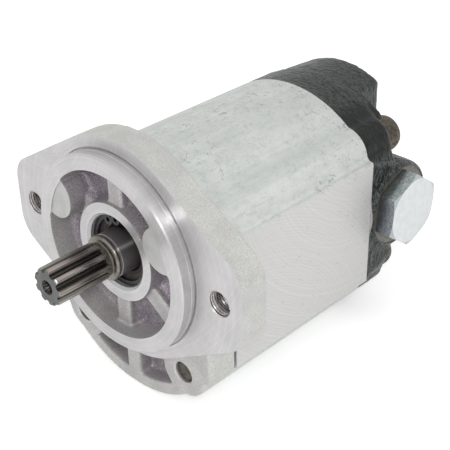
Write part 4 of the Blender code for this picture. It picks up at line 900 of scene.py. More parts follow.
def boreCover(blank):
    joint, hub, face = frontHigh.y, cover["hubTop"], cover["lowerFace"]
    bore, bottom = cover["sealBore"]
    profile = [
        (0, hub - 1), (bore + 2.0, hub - 1), (bore, hub + 1), (bore, bottom), (10, bottom),
        (10, joint + 1), (0, joint + 1),
    ]
    combine(blank, turned(profile), turnedAluminium)
    depth, start, end = cover["ringGroove"]
    combine(blank, drum(bore + depth, start, end, steps=96), turnedAluminium)
    thread = cover["threadRadius"]
    hole, root = cover["screwThread"]
    end = cover["screwEnd"] - 0.2
    mountMouth = [(0, -1), (thread + 1.2, -1), (thread, 0.4), (0, 0.4)]
    lowerHole = [
        (0, face - 1), (hole, face - 1), (hole, end), (root, end), (root, joint + 1), (0, joint + 1),
    ]
    lowerMouth = [(0, face - 1), (hole + 1.6, face - 1), (hole, face + 0.6), (0, face + 0.6)]
    depth, cut, half = cover["prySlot"]
    for side in (-1, 1):
        mount, lower = (side * cover["mountX"], 0, 0), (side * screwX, 0, lowerZ)
        combine(blank, drum(thread, -1, joint + 1, centre=mount, steps=64), threadRoot)
        combine(blank, turned(mountMouth, centre=mount, steps=64), turnedAluminium)
        combine(blank, turned(lowerHole, centre=lower, steps=64), castLand)
        combine(blank, turned(lowerMouth, centre=lower, steps=64), turnedAluminium)
        combine(blank, drum(root, 5, joint + 1, centre=(side * screwX, 0, upperZ)), turnedAluminium)
        inner, outer = sorted((side * (padReach - depth), side * (padReach + 1)))
        slot = box((inner, joint - cut, caseMiddle - half), (outer, joint + 1, caseMiddle + half))
        combine(blank, slot, castAluminium)
    radius, depth, away = cover["dowel"]
    for z in (caseMiddle - away, caseMiddle + away):
        combine(blank, drum(radius, joint - depth, joint + 1, centre=(0, 0, z)), turnedAluminium)


def makeFrontCover():
    stock = cover["stock"]
    blank = slab([flangeOutline()], -stock, cover["flangeThickness"])
    lower = slab([caseOutline()], cover["lowerFace"], frontHigh.y + stock)
    combine(blank, lower, operation="UNION")
    pilot = drum(cover["pilotRadius"] + 0.8, frontLow.y - stock, 1, steps=128)
    combine(blank, pilot, operation="UNION")
    combine(blank, makeRecess())
    combine(blank, makeLowerPockets())
    print("front cover blank ready")
    castSkin(blank, cover["voxel"], cover["relax"])
    paint(blank, castAluminium)
    faceCover(blank)
    boreCover(blank)
    return blank


def pointValues(mesh, key, width):
    values = numpy.empty(len(mesh.vertices) * width)
    mesh.vertices.foreach_get(key, values)
    return values.reshape(-1, width)


def keepValues(mesh, name, values):
    layer = mesh.attributes.new(name, "FLOAT", "POINT")
    layer.data.foreach_set("value", numpy.asarray(values, dtype=numpy.float32))


def markEdges(piece, gain):
    # above 0 where a point stands proud of its neighbours, below 0 down in a corner
    mesh = piece.data
    ends = numpy.empty(len(mesh.edges) * 2, dtype=int)
    mesh.edges.foreach_get("vertices", ends)
    first, second = ends.reshape(-1, 2).T
    count = len(mesh.vertices)
    number = numpy.maximum(numpy.bincount(ends, minlength=count), 1)

    def around(values):
        total = numpy.bincount(first, values[second], count) + numpy.bincount(second, values[first], count)
        return total / number

    points, normals = pointValues(mesh, "co", 3) / mm, pointValues(mesh, "normal", 3)
    proud = sum((points[:, k] - around(points[:, k])) * normals[:, k] for k in range(3))
    proud = numpy.clip(proud * gain, -1, 1)
    for turn in range(3):
        proud = (proud + around(proud)) / 2
    keepValues(mesh, "edge", proud)
    return proud


# shares of the dark recess skin, which also carry painted shade
coreSkinAndShade = {
    "recess": (0.72, 1.0, 4.0),    # at the mounting face, at full depth, and that depth; the rise with depth is painted shade as well as skin
    "wallAndTops": 0.4,        # on the recess wall and on the ribs' tops
    "edges": (0.9, 0.15),      # how much proud edges are paler, as rubbed skin and painted highlight, and corners darker, as painted shade
    "palest": 0.15,
    # darker deeper into the lower pockets: painted shade
    "pocket": (0.2, 0.85, 5.0),
    # the set-back face under the flange a little darker: painted shade
    "lowerFace": 0.22,
}


def skinAndShadeShare(x, y, z, edge, front):
    # how dark the skin is at a place, painted shade included: 1 down in the cored hollows, 0 on the outside
    radius = math.hypot(x, z)
    face = cover["lowerFace"]
    share = 0.0
    if radius < cover["recessRadius"] + 0.3 and frontLow.y + 0.2 < y < cover["recessFloor"] + 1:
        # darker with depth into the recess: painted shade on the skin
        shallow, deep, depth = coreSkinAndShade["recess"]
        share = shallow + (deep - shallow) * min(1.0, max(0.0, y / depth))
        if radius > cover["recessRadius"] - 1.0 or (front < -0.7 and y < 1.5):
            share = coreSkinAndShade["wallAndTops"]
        # proud edges paler, as rubbed skin and painted highlight; corners darker, as painted shade
        paler, darker = coreSkinAndShade["edges"]
        share -= paler * max(edge, 0) + darker * min(edge, 0)
        share = min(1.0, max(coreSkinAndShade["palest"], share))
    elif radius > cover["roundRadius"] + 0.4 and face + 0.25 < y < 10:
        # darker deeper into the lower pockets: painted shade
        shallow, deep, depth = coreSkinAndShade["pocket"]
        reach = math.hypot(x, z - caseMiddle)
        if reach < caseRadius - cover["pocketRim"] + 0.4 and z < caseMiddle:
            share = min(deep, shallow + (deep - shallow) * (y - face) / depth)
    # the set-back face under the flange: painted shade
    if radius > cover["roundRadius"] and front < -0.9 and y < face + 0.4:
        share = coreSkinAndShade["lowerFace"]
    return share


def markSkinAndShade(piece):
    proud = markEdges(piece, 18)
    facing = pointValues(piece.data, "normal", 3)[:, 1]
    points = [vertex.co / mm for vertex in piece.data.vertices]
    shares = [skinAndShadeShare(*point, edge, front) for point, edge, front in zip(points, proud, facing)]
    keepValues(piece.data, "core", shares)
    print("recess marked on", len(shares), "points")


frontCover = makeFrontCover()
markSkinAndShade(frontCover)
finishPiece(frontCover, "frontCover", "housing", "cast_aluminium", "front_cover")


body = {
    "inset": -0.05,            # the section is a little slimmer than the two covers
    "gearCentres": 29.3,
    "gearBore": 17.0,
    "screwHole": 5.3,
    "inletThread": (13.2, 17.0),   # radius and depth
    "inletCore": 10.0,
    "portBevel": 1.0,
    "rim": 0.12,               # broken edge at both ends
}


def figureEight(radius):
    half = body["gearCentres"] / 2
    opening = math.degrees(math.acos(half / radius))
    upper = arcPoints((0, 0), radius, -90 + opening, 270 - opening, 48)
    lower = arcPoints((0, -2 * half), radius, 90 + opening, 450 - opening, 48)
    return upper + lower[1:-1]


def portCutter(radius, depth, core, coreEnd, face, inward, axis, centre):
    # chamfered mouth, threaded length and core hole
    bevel = body["portBevel"]
    steps = [
        (0, face - inward * 3), (radius + bevel + 3, face - inward * 3), (radius, face + inward * bevel),
        (radius, face + inward * depth), (core, face + inward * (depth + 2)), (core, coreEnd), (0, coreEnd),
    ]
    return turned(steps, axis, centre)


def makePumpBody():
    start, end = bodyLow.y, bodyHigh.y
    piece = breakEdges(slab([caseOutline(body["inset"])], start, end), body["rim"], 60, 2)
    paint(piece, extrudedAluminium)
    milled = addMaterial(piece, milledAluminium)
    faced = addMaterial(piece, turnedAluminium)
    for face in piece.data.polygons:
        if abs(face.normal.x) > 0.99 and abs(face.center.x) > (padReach - 0.5) * mm:
            face.material_index = milled
        elif abs(face.normal.y) > 0.9:
            face.material_index = faced
    combine(piece, slab([figureEight(body["gearBore"])], start - 1, end + 1), turnedAluminium)
    for x, z in screwPlaces.values():
        combine(piece, drum(body["screwHole"], start - 1, end + 1, centre=(x, 0, z)), turnedAluminium)
    radius, depth = body["inletThread"]
    middle = (0, (start + end) / 2, caseMiddle)
    port = portCutter(radius, depth, body["inletCore"], 0, -padReach, 1, "X", middle)
    return combine(piece, port, turnedAluminium)


finishPiece(makePumpBody(), "pumpBody", "housing", "extruded_aluminium", "pump_body")


rear = {
    "plateEnd": 115.9,
    "humpEnd": 134.9,
    "fade": (5.5, 1.6),        # the pad's corners sink this far, down and inwards
    "shoulder": (32.0, 1.0, 5.0),   # half width, inset from the casing, height over the plate
    "hump": (21.9, 0.5, 3.0),       # half width, inset, draft of its sides
    "galleryRadius": 19.8,
    "galleryBevel": 1.6,
    "galleryLeft": -40.78,
    "galleryCut": 0.6,         # machined off its right end
    "facedRadius": 17.7,       # machined seat of the plug
    "outlet": (10.5, 16.0, 6.5, 13.0),  # thread radius, depth, core radius, height
    "outletSeat": (15.5, 0.35),     # radius and depth of its faced ring
    "spotface": (9.2, 115.7),
    "voxel": 0.78,
    "relax": 7,
    "skinLoss": 0.3,           # what the relaxing takes off, added to blanks beforehand
    "wrinkle": 0.14,           # height of the sand casting's wrinkles
    "wrinkleSizes": (5.0, 1.7),
    "wrinkleSink": 0.9,        # keeps the skin inside the casting's nominal shape
}
galleryFace = padReach + 1.0


def humpOutline(halfWidth, inset, bottom):
    radius = caseRadius - inset
    top = math.degrees(math.acos(halfWidth / radius))
    points = [(x, z + caseMiddle) for x, z in arcPoints((0, 0), radius, top, 180 - top, 32)]
    return points + [(-halfWidth, bottom), (halfWidth, bottom)]


def wrinkle(piece):
    # rough sand-cast skin: every point moves along its normal by smooth noise
    broad, fine = rear["wrinkleSizes"]
    normals = [vertex.normal.copy() for vertex in piece.data.vertices]
    for vertex, normal in zip(piece.data.vertices, normals):
        place = vertex.co / mm
        swell = noise.fractal(place / broad, 0.9, 2.1, 3) + 0.55 * noise.fractal(place / fine, 0.8, 2.0, 2)
        vertex.co += normal * (max(-1.6, min(swell, 1.0)) - rear["wrinkleSink"]) * rear["wrinkle"] * mm


def rearPlate(end):
    # the pads fade into the round of the casing towards the rear
    plate = slab([caseOutline()], rearStart - cover["stock"], end)
    down, inward = rear["fade"]
    for vertex in plate.data.vertices:
        x, y, z = vertex.co / mm
        rise = z - caseMiddle
        near = abs(rise) - caseShape["padHalfHeight"] + 1.2
        if y > end - 1 and abs(x) > padReach - 2.2 and abs(rise) > caseShape["padHalfHeight"] - 2:
            if abs(x) > padReach - 1.1:
                vertex.co.z -= math.copysign(down, rise) * mm * (1 if near > 0 else 0.8)
            else:
                vertex.co.x -= math.copysign(inward, x) * mm
    return plate


def makeRearCover():
    start, end, humpEnd = rearStart, rear["plateEnd"], rear["humpEnd"]
    blank = rearPlate(end)
    loss = rear["skinLoss"]
    half, inset, height = rear["shoulder"]
    step = slab([humpOutline(half, inset - loss, caseMiddle)], end - 7, end + height + loss)
    combine(blank, step, operation="UNION")
    half, inset, draft = rear["hump"]
    hump = slab([humpOutline(half + loss, inset - 0.4, galleryAxis[2])], end - 8, humpEnd + loss)
    for vertex in hump.data.vertices:
        if vertex.co.y > end * mm:
            vertex.co.x *= (half - draft) / half
    combine(blank, hump, operation="UNION")
    radius, bevel, left = rear["galleryRadius"], rear["galleryBevel"], rear["galleryLeft"]
    right = galleryFace + rear["galleryCut"]
    profile = [
        (0, right), (radius - bevel, right), (radius, right - bevel), (radius, left + bevel),
        (radius - bevel, left), (0, left),
    ]
    gallery = turned(profile, "X", galleryAxis)
    combine(gallery, box((-beyond, 0, -beyond), (beyond, start - 0.5, beyond)))
    combine(blank, gallery, operation="UNION")
    castSkin(blank, rear["voxel"], rear["relax"])
    wrinkle(blank)
    paint(blank, blackPaint)

    # joint face, plug seat and gallery bores, outlet, spot faces
    combine(blank, box((-beyond, start - 9, -beyond), (beyond, start, beyond)), turnedAluminium)
    face = galleryFace
    combine(blank, drum(rear["facedRadius"], face, face + 5, "X", galleryAxis, 96), facedIron)
    bores = [
        (0, face + 1), (12.7, face + 1), (12.7, face - 2), (10.7, face - 2), (10.7, 31), (8.5, 31),
        (8.5, 18), (7, 18), (7, -6), (0, -6),
    ]
    combine(blank, turned(bores, "X", galleryAxis), facedIron)
    radius, depth, core, height = rear["outlet"]
    seat, cut = rear["outletSeat"]
    centre = (0, 0, height)
    combine(blank, drum(seat, humpEnd - cut, humpEnd + 3, centre=centre, steps=96), facedIron)
    combine(blank, portCutter(radius, depth, core, humpEnd - 19, humpEnd, -1, "Y", centre), facedIron)
    spot, spotY = rear["spotface"]
    for x, z in screwPlaces.values():
        combine(blank, drum(spot, spotY, spotY + 40, centre=(x, 0, z), steps=64), facedIron)
        combine(blank, drum(body["screwHole"], start - 1, spotY + 1, centre=(x, 0, z)), facedIron)
    return blank


rearCover = makeRearCover()
markEdges(rearCover, 14)
finishPiece(rearCover, "rearCover", "housing", "black_cast_iron", "rear_cover")


plug = {
    "flats": 29.0,
    "turn": 96.0,
    "faceRadius": 15.0,
    "cornerLean": 30.0,        # chamfer angle of the corners
    "rimBevel": 0.3,
    "edgeBreak": 0.32,
    "thread": 10.5,
    "threadEnd": 32.98,
    "bore": 5.4,
    "boreEnd": 40.98,
    "facings": (0.992, 0.945, 0.75, 0.2),   # how far the end, its rim, chamfer and edges face outwards
    "edgeArea": 10,            # smaller faces belong to an edge
}


def makeHexPlug():
    start, end = galleryFace + 0.2, boxOf("hex_plug")[1].x
    corner = plug["flats"] / math.sqrt(3)
    outline = arcPoints((0, 0), corner, plug["turn"], plug["turn"] + 360, 6)[:-1]
    head = slab([outline], start, end)
    head.data.transform(Matrix.Rotation(-math.pi / 2, 4, "Z"))
    head.data.transform(Matrix.Translation(Vector(galleryAxis) * mm))
    face, bevel = plug["faceRadius"], plug["rimBevel"]
    drop = (corner - face) * math.tan(math.radians(plug["cornerLean"]))
    shell = [
        (0, end), (face - bevel, end), (face, end - bevel * 0.35),
        (corner + 0.5, end - drop - bevel * 0.35), (corner + 0.5, start - 1), (0, start - 1),
    ]
    paint(head, zincFlats)
    combine(head, turned(shell, "X", galleryAxis), zincPlate, "INTERSECT")
    breakEdges(head, plug["edgeBreak"], 20)
    pale, slope = head.data.materials.find(zincPlate.name), addMaterial(head, shadedZincChamfer)
    worn = addMaterial(head, zincEdge)
    endFacing, rimFacing, chamferFacing, edgeFacing = plug["facings"]
    for face in head.data.polygons:
        # the end face is pale, its chamfer greyer as painted shade, and every edge is rubbed bright
        outward, small = face.normal.x, face.area < plug["edgeArea"] * mm * mm
        if outward > endFacing:
            face.material_index = pale
        elif outward > chamferFacing:
            face.material_index = worn if outward > rimFacing else slope
        elif outward > edgeFacing or (outward > -0.5 and small):
            face.material_index = worn
    thread, tip = plug["thread"], plug["threadEnd"]
    stem = [(0, start + 2), (thread, start + 2), (thread, tip + 1), (thread - 1, tip), (0, tip)]
    combine(head, turned(stem, "X", galleryAxis), zincPlate, "UNION")
    return combine(head, drum(plug["bore"], tip - 1, plug["boreEnd"], "X", galleryAxis), zincPlate)


finishPiece(makeHexPlug(), "hexPlug", "housing", "zinc_plate", "hex_plug")


shaft = {
    "journal": 9.0,
    "journalBevel": 0.8,
    "rearEnd": 98.9,
    "gear": (35.1, 81.1),
    "gearCore": 11.3,
    "relief": (8.6, 0.5),      # radius and width of the groove behind the collar
    "collar": (9.3, -9.0, -6.8),
    "neck": 6.9,
    "splineEnd": -11.0,
    "splineTip": 7.75,
    "splineRoot": 6.1,
    "splineTeeth": 9,
    "splinePhase": 2.0,
    "splineBevel": (0.6, 1.3),   # radial, axial
    "centreDrill": (2.7, 1.35, 6.0),   # mouth radius, pilot radius, depth
}
gears = {"teeth": 12, "pitch": 14.65, "tip": 16.8475, "root": 11.72, "pressure": 25.0, "backlash": 0.06}


def involute(angle):
    return math.tan(angle) - angle


def gearOutline(phase):
    base = gears["pitch"] * math.cos(math.radians(gears["pressure"]))
    half = math.pi / (2 * gears["teeth"]) - gears["backlash"] / gears["pitch"]
    half += involute(math.radians(gears["pressure"]))
    flank = []
    for step in range(8):
        radius = base + (gears["tip"] - base) * step / 7
        flank.append((radius, half - involute(math.acos(min(1.0, base / radius)))))
    side = [(gears["root"], flank[0][1] + 0.04)] + flank
    outline = []
    for tooth in range(gears["teeth"]):
        middle = math.radians(phase) + 2 * math.pi * tooth / gears["teeth"]
        outline += [(r * math.cos(middle - h), r * math.sin(middle - h)) for r, h in side]
        outline += [(r * math.cos(middle + h), r * math.sin(middle + h)) for r, h in side[::-1]]
    return outline


def splineOutline():
    # each tooth as arcs from root to root: radius, start and end as shares of a tooth, steps
    tip, root = shaft["splineTip"], shaft["splineRoot"]
    pitch = 360 / shaft["splineTeeth"]
    arcs = [
        (root, -0.5, -0.36, 3), (tip - 0.12, -0.195, -0.19, 1), (tip, -0.165, 0.165, 4),
        (tip - 0.12, 0.19, 0.195, 1), (root, 0.36, 0.5, 3),
    ]
    outline = []
    for tooth in range(shaft["splineTeeth"]):
        middle = shaft["splinePhase"] + pitch * tooth
        for radius, start, end, steps in arcs:
            outline += arcPoints((0, 0), radius, middle + pitch * start, middle + pitch * end, steps)
        outline.pop()
    return outline


def shaftProfile(tip):
    journal, bevel = shaft["journal"], shaft["journalBevel"]
    gearStart, gearEnd = shaft["gear"]
    core, rearEnd = shaft["gearCore"], shaft["rearEnd"]
    relief, reliefWidth = shaft["relief"]
    collar, collarFront, collarBack = shaft["collar"]
    neck, half = shaft["neck"], (collarBack - collarFront) / 2
    bead = [(x, y + collarFront + half) for x, y in arcPoints((collar - half, 0), half, 75, -90, 12)]
    root, splineEnd = shaft["splineRoot"] - 0.02, shaft["splineEnd"]
    mouth, drill, drillDepth = shaft["centreDrill"]
    return [
        (0, rearEnd), (journal - bevel, rearEnd), (journal, rearEnd - bevel), (journal, gearEnd - 1),
        (core, gearEnd - 1), (core, gearStart + 1), (journal, gearStart + 1),
        (journal, collarBack + reliefWidth + 0.3), (journal - 0.3, collarBack + reliefWidth),
        (relief, collarBack + reliefWidth), (relief, collarBack + 0.1), *bead,
        (neck + 0.5, collarFront), (neck + 0.15, collarFront - 0.15), (neck, collarFront - 0.5),
        (neck, splineEnd - 0.1), (root, splineEnd - 0.5), (root, tip + 0.02), (mouth + 0.3, tip + 0.02),
        (mouth, tip + 0.25), (drill, tip + mouth), (drill, tip + drillDepth - 1), (0, tip + drillDepth),
    ]


def splineTeeth(tip):
    splineEnd, major = shaft["splineEnd"], shaft["splineTip"] + 0.05
    teeth = paint(slab([splineOutline()], tip, splineEnd + 0.6), darkSteel)
    slope, bevel = shaft["splineBevel"]
    envelope = [
        (0, 0), (shaft["neck"] + 0.02, -9.6), (major, splineEnd - 0.6), (major, tip + bevel),
        (major - slope * 0.25, tip + bevel * 0.4), (major - slope, tip), (0, tip),
    ]
    combine(teeth, turned(envelope), darkSteel, "INTERSECT")
    return combine(teeth, drum(5.0, tip - 1, 0), darkSteel)


def makeDriveShaft():
    tip = boxOf("drive_gear_shaft")[0].y
    piece = paint(turned(shaftProfile(tip)), groundSteel)
    combine(piece, slab([gearOutline(270)], *shaft["gear"]), darkSteel, "UNION")
    combine(piece, splineTeeth(tip), operation="UNION")
    bead, splines, nose = [addMaterial(piece, metal) for metal in (beadSteel, splineSteel, endSteel)]
    for face in piece.data.polygons:
        # everything in front of the journal is left dark, the teeth with the cutter's lines
        if face.center.y < (shaft["collar"][2] + 0.05) * mm:
            y = face.center.y / mm
            toothed = tip + 0.02 < y < shaft["splineEnd"] + 0.5 and abs(face.normal.y) < 0.8
            face.material_index = splines if toothed else bead
            if face.center.y < (tip + 0.05) * mm:
                face.material_index = nose
    return piece


finishPiece(makeDriveShaft(), "driveShaft", "drive_gear", "hardened_steel", "drive_gear_shaft")


screw = {
    "head": 8.0,
    "headHeight": 10.0,
    "shank": 5.0,
    "socketFlats": 8.0,
    "socketDepth": 5.0,
    "bevel": 0.9,
    "knurls": 56,
    "knurlDepth": 0.28,
    "knurlLength": 7.4,
}


def newTree(name, *floats, **others):
    # an empty node tree whose inputs are the piece's sizes and its material
    tree = bpy.data.node_groups.new(name, "GeometryNodeTree")
    tree.interface.new_socket(name="Geometry", in_out="OUTPUT", socket_type="NodeSocketGeometry")
    for label, kind in {**dict.fromkeys(floats, "Float"), **others, "Material": "Material"}.items():
        tree.interface.new_socket(name=label, in_out="INPUT", socket_type="NodeSocket" + kind)
    return tree, addNode(tree, "NodeGroupInput")


def closeTree(tree, geometry, material):
    real = addNode(tree, "GeometryNodeRealizeInstances", {"Geometry": geometry})
    inputs = {"Geometry": real["Geometry"], "Material": material}
    coloured = addNode(tree, "GeometryNodeSetMaterial", inputs)
    addNode(tree, "NodeGroupOutput", {"Geometry": coloured["Geometry"]})
    return tree


def grown(tree, values):
    # sets a tree's inputs by their identifiers and keeps the result as a plain mesh
    piece = linkPiece(bpy.data.meshes.new("grown"))
    nodes = piece.modifiers.new("shape", "NODES")
    nodes.node_group = tree
    for socket in tree.interface.items_tree:
        if socket.in_out == "INPUT" and socket.name in values:
            nodes[socket.identifier] = values[socket.name]
    settle(piece)
    for face in piece.data.polygons:
        face.material_index = 0
    return paint(piece, values["Material"])


def makeKnurlTree():
    # narrow ridges set round a cylinder
    tree, given = newTree("knurledRim", "Radius", "Width", "Length", Ridges="Int")
    rim = addNode(tree, "GeometryNodeMeshCircle", {"Vertices": given["Ridges"], "Radius": given["Radius"]})
    sides = {"X": given["Width"], "Y": given["Width"], "Z": given["Length"]}
    size = addNode(tree, "ShaderNodeCombineXYZ", sides)["Vector"]
    bar = addNode(tree, "GeometryNodeMeshCube", {"Size": size})["Mesh"]
    ridge = addNode(tree, "GeometryNodeTransform", {"Geometry": bar, "Rotation": (0, 0, math.pi / 4)})
    step = addNode(tree, "ShaderNodeMath", {0: 2 * math.pi, 1: given["Ridges"]}, operation="DIVIDE")
    index = addNode(tree, "GeometryNodeInputIndex")["Index"]
    angle = addNode(tree, "ShaderNodeMath", {0: step["Value"], 1: index}, operation="MULTIPLY")["Value"]
    spokes = addNode(tree, "GeometryNodeInstanceOnPoints", {
        "Points": rim["Mesh"], "Instance": ridge["Geometry"],
        "Rotation": addNode(tree, "ShaderNodeCombineXYZ", {"Z": angle})["Vector"],
    })
    return closeTree(tree, spokes["Instances"], given["Material"])


def makeCoilTree():
    # a round wire, or the ridge of a thread, that winds round an axis
    tree, given = newTree("coil", "Radius", "Length", "Turns", "Ridge", Sides="Int")
    path = addNode(tree, "GeometryNodeCurveSpiral", {
        "Resolution": 40, "Rotations": given["Turns"], "Start Radius": given["Radius"],
        "End Radius": given["Radius"], "Height": given["Length"],
    })
    inputs = {"Resolution": given["Sides"], "Radius": given["Ridge"]}
    section = addNode(tree, "GeometryNodeCurvePrimitiveCircle", inputs, mode="RADIUS")
    inputs = {"Curve": path["Curve"], "Profile Curve": section["Curve"], "Fill Caps": True}
    return closeTree(tree, addNode(tree, "GeometryNodeCurveToMesh", inputs)["Mesh"], given["Material"])


knurlTree = makeKnurlTree()
coilTree = makeCoilTree()
print("node trees built:", len(bpy.data.node_groups))


def joinInto(piece, other):
    # adds another piece's faces to this one
    work = bmesh.new()
    work.from_mesh(piece.data)
    start = len(work.faces)
    work.from_mesh(other.data)
    work.faces.ensure_lookup_table()
    index = addMaterial(piece, other.data.materials[0])
    for face in work.faces[start:]:
        face.material_index = index
    work.to_mesh(piece.data)
    work.free()
    bpy.data.objects.remove(other)


def makeScrew(corner):
    x, z = screwPlaces[corner]
    low, high = boxOf("body_screw_" + corner)
    top, tip = high.y, cover["screwEnd"] if corner.startswith("lower") else low.y
    seat = top - screw["headHeight"]
    head, shank, bevel = screw["head"] - screw["knurlDepth"], screw["shank"], screw["bevel"]
    profile = [
        (0, top), (head - bevel, top), (head - bevel * 0.3, top - bevel * 0.3), (head, top - bevel),
        (head, seat + 0.4), (head - 0.4, seat), (shank + 0.3, seat), (shank, seat - 0.3),
        (shank, tip + 1), (shank - 1, tip), (0, tip),
    ]
    piece = paint(turned(profile, centre=(x, 0, z), steps=64), boltSteel)
    corners = arcPoints((0, 0), screw["socketFlats"] / math.sqrt(3), 0, 360, 6)[:-1]
    socket = slab([[(px + x, pz + z) for px, pz in corners]], top - screw["socketDepth"], top + 1)
    combine(piece, socket, boltSteel)
    width = 2 * math.pi * head / screw["knurls"] / math.sqrt(2)
    ridges = grown(knurlTree, {
        "Radius": (head - 0.1) * mm, "Ridges": screw["knurls"], "Width": width * mm,
        "Length": screw["knurlLength"] * mm, "Material": wornSteel,
    })
    ridges.data.transform(placed("Y", (x, seat + 0.6 + screw["knurlLength"] / 2, z)))
    joinInto(piece, ridges)
    finishPiece(piece, "socketScrew_" + corner, "housing", "bolt_steel", "body_screw_" + corner)


def makeWasher(corner):
    x, z = screwPlaces[corner]
    low, high = boxOf("screw_washer_" + corner)
    radius = (high.x - low.x) / 2
    profile = [
        (5.3, low.y), (radius - 0.15, low.y), (radius, low.y + 0.15), (radius, high.y - 0.35),
        (radius - 0.35, high.y), (5.5, high.y), (5.3, high.y - 0.2),
    ]
    piece = paint(turned(profile, centre=(x, 0, z), steps=64, ring=True), washerZinc)
    finishPiece(piece, "washer_" + corner, "housing", "bolt_steel", "screw_washer_" + corner)


for corner in screwPlaces:
    makeScrew(corner)
    makeWasher(corner)


seal = {"lip": 9.1, "wall": 1.5}
ring = {
    "outer": 15.9,
    "inner": 13.35,
    "opening": 108.0,          # where its gap is, and half the gap's angle
    "gap": 9.0,
    "eye": 2.35,
    "hole": 1.0,
    "edgeBreak": 0.12,
}


def makeShaftSeal():
    # case, its rolled front edge, dust lip, sealing lip and the hollow behind it
    low, high = boxOf("shaft_seal")
    front, back, outer, lip = low.y, high.y, high.x, seal["lip"]
    inside = outer - seal["wall"]
    profile = [
        (outer, back), (outer, front + 0.5), (outer - 0.5, front), (outer - 1.6, front),
        (outer - 1.9, front + 0.35), (lip + 2.3, front + 0.45), (lip + 1.9, front + 0.15),
        (lip + 1.4, front), (lip + 0.9, front + 0.3), (lip + 0.2, front + 2.6), (lip, front + 3.4),
        (lip, front + 4.2), (lip + 1.3, back - 0.8), (lip + 1.8, back - 0.8), (lip + 1.8, front + 1.7),
        (inside, front + 1.7), (inside, back),
    ]
    return paint(turned(profile, ring=True), rubber)


def makeRetainingRing():
    start, end = [corner.y for corner in boxOf("seal_retaining_ring")]
    first = ring["opening"] + ring["gap"]
    last = ring["opening"] + 360 - ring["gap"]
    outline = arcPoints((0, 0), ring["outer"], first, last, 90)
    outline += arcPoints((0, 0), ring["inner"], last, first, 90)
    piece = slab([outline], start, end)
    for angle in (first + 1.5, last - 1.5):
        reach = ring["inner"] - 0.8
        place = (reach * math.cos(math.radians(angle)), 0, reach * math.sin(math.radians(angle)))
        combine(piece, drum(ring["eye"], start, end, centre=place, steps=40), operation="UNION")
        combine(piece, drum(ring["hole"], start - 1, end + 1, centre=place, steps=32))
    return paint(breakEdges(piece, ring["edgeBreak"], 60), springSteel)


finishPiece(makeShaftSeal(), "shaftSeal", "housing", "nitrile_rubber", "shaft_seal")
finishPiece(makeRetainingRing(), "retainingRing", "housing", "spring_steel", "seal_retaining_ring")


threads = {
    # name: radius, pitch, axis, where the first turn is, and length
    "threadMountRight": (cover["threadRadius"], 1.1, "Y", (cover["mountX"], 0.5, 0), 11.8),
    "threadMountLeft": (cover["threadRadius"], 1.1, "Y", (-cover["mountX"], 0.5, 0), 11.8),
    "threadInlet": (body["inletThread"][0], 1.8, "X", (1.5 - padReach, 58.1, caseMiddle), 14.0),
    "threadOutlet": (rear["outlet"][0], 1.5, "Y", (0, 120.4, rear["outlet"][3]), 13.0),
}
ridgePerPitch = 0.42
for name, (radius, pitch, axis, start, length) in threads.items():
    iron = name == "threadOutlet"
    metal, slotName = (facedIron, "black_cast_iron") if iron else (tappedAluminium, "cast_aluminium")
    coil = grown(coilTree, {
        "Radius": (radius - 0.02) * mm, "Length": length * mm, "Turns": length / pitch,
        "Ridge": pitch * ridgePerPitch * mm, "Sides": 6, "Material": metal,
    })
    coil.data.transform(placed(axis, start))
    cleanMesh(coil.data)
    finishPiece(coil, name, "housing", slotName)


spring = {"wire": 1.4, "turns": 6.0, "fixedEnd": 40.8, "travel": 2.5}


def makeReliefSpring():
    # the coil between poppet and plug, wound at one length (in the pump it shortens towards the plug as the
    # poppet lifts)
    low, high = boxOf("relief_spring")
    wire = spring["wire"] / 2
    middle = (low + high) / 2
    coil = grown(coilTree, {
        "Radius": ((high.y - low.y) / 2 - wire) * mm, "Length": (high.x - low.x - 2 * wire) * mm,
        "Turns": spring["turns"], "Ridge": (wire - 0.02) * mm, "Sides": 12, "Material": springSteel,
    })
    coil.data.transform(placed("X", (low.x + wire, middle.y, middle.z)))
    cleanMesh(coil.data)
    finishPiece(coil, "reliefSpring", "housing", "spring_steel", "relief_spring")
    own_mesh(coil)


makeReliefSpring()
print("relief spring wound:", spring["turns"], "turns")


# the pieces inside keep their own meshes
insideFinishes = [
    (darkSteel, "driven_gear_shaft relief_seat relief_poppet"),
    (darkSteel, "front_dowel_upper front_dowel_lower rear_dowel_upper rear_dowel_lower"),
    (bearingAluminium, "front_bearing_block rear_bearing_block"),
    (bronze, "drive_front_bush drive_rear_bush driven_front_bush driven_rear_bush"),
    (rubber, "front_block_seal rear_block_seal front_body_seal rear_body_seal plug_seal_ring"),
    (springSteel, "seal_garter_spring"),
]
for metal, names in insideFinishes:
    for name in names.split():
        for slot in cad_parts[name].material_slots:
            slot.material = metal
    print("inside pieces finished:", names)


studio = {
    "floorHeight": bodyLow.z - 0.05,
    "floorHalf": 1.5,          # metres
    "worldLow": 0.58,          # at the horizon
    "worldHigh": 0.82,         # straight above
    "floorGlow": 0.42,
    "lampTarget": (0, 0.05, -0.01),
    "lamps": {                 # direction, distance and size in metres, power in watts
        "flash": ((0.62, -0.58, 0.6), 0.55, 0.07, 0.7),
        "overhead": ((0.5, 0.57, 0.66), 0.8, 0.3, 0.2),
    },
    "cameraPlace": (265.830, -210.151, 213.232),
    "cameraRight": (0.71687, 0.69697, -0.01832),
    "cameraUp": (-0.34929, 0.38176, 0.85572),
    "lens": 83.12,
}


def seenWhite(tree, strength):
    # cameras and shiny metal see this much glow, and the object none of it
    path = addNode(tree, "ShaderNodeLightPath")
    rays = ("Is Camera Ray", "Is Glossy Ray", "Is Transmission Ray")
    return weighed(tree, [(path[ray], strength) for ray in rays])


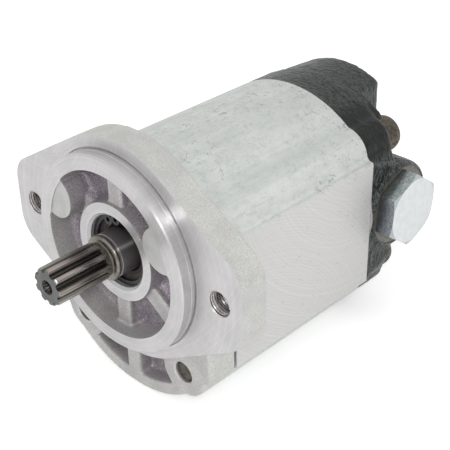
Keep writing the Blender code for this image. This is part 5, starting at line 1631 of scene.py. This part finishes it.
def makeFloor():
    # white paper, which keeps the shadow
    half, height = studio["floorHalf"], studio["floorHeight"] * mm
    mesh = bpy.data.meshes.new("floor")
    corners = [(-half, -half, height), (half, -half, height), (half, half, height), (-half, half, height)]
    mesh.from_pydata(corners, [], [(0, 1, 2, 3)])
    material, tree, shader, place = startMaterial("whitePaper", "#F4F4F4", 0.0, 0.9)
    tree.links.new(seenWhite(tree, studio["floorGlow"]), shader.inputs["Emission Strength"])
    shader.inputs["Emission Color"].default_value = (1, 1, 1, 1)
    mesh.materials.append(material)
    linkPiece(mesh, "floor")


def makeWorld():
    # a tent a little brighter overhead; cameras and shiny metal see it white
    world = bpy.data.worlds.new("studioTent")
    bpy.context.scene.world = world
    world.use_nodes = True
    tree = world.node_tree
    sky = tree.nodes["Background"]
    sky.inputs["Color"].default_value = (1, 1, 1, 1)
    way = addNode(tree, "ShaderNodeTexCoord")["Generated"]
    level = stepAlong(tree, way, "Z", 0.1, 0.95, studio["worldLow"], studio["worldHigh"], 1)
    brightest = addNode(tree, "ShaderNodeMath", {0: seenWhite(tree, 1.0), 1: level}, operation="MAXIMUM")
    tree.links.new(brightest["Value"], sky.inputs["Strength"])


def addLamp(name, direction, distance, size, power):
    # a square softbox that faces the pump
    lamp = bpy.data.lights.new(name, "AREA")
    lamp.size = size
    lamp.energy = power
    holder = linkPiece(lamp, name)
    way = Vector(direction).normalized()
    holder.location = Vector(studio["lampTarget"]) + way * distance
    holder.rotation_euler = way.to_track_quat("Z", "Y").to_euler()


def makeCamera():
    lens = bpy.data.cameras.new("camera")
    lens.lens = studio["lens"]
    lens.sensor_width = 36
    lens.clip_start = 0.01
    holder = linkPiece(lens, "camera")
    right = Vector(studio["cameraRight"]).normalized()
    up = Vector(studio["cameraUp"]).normalized()
    turn = Matrix((right, up, right.cross(up))).transposed().to_4x4()
    holder.matrix_world = Matrix.Translation(Vector(studio["cameraPlace"]) * mm) @ turn
    bpy.context.scene.camera = holder


makeFloor()
makeWorld()
for name, settings in studio["lamps"].items():
    addLamp(name, *settings)
makeCamera()
print("floor, light and camera ready")

bpy.context.scene.view_settings.view_transform = "Standard"
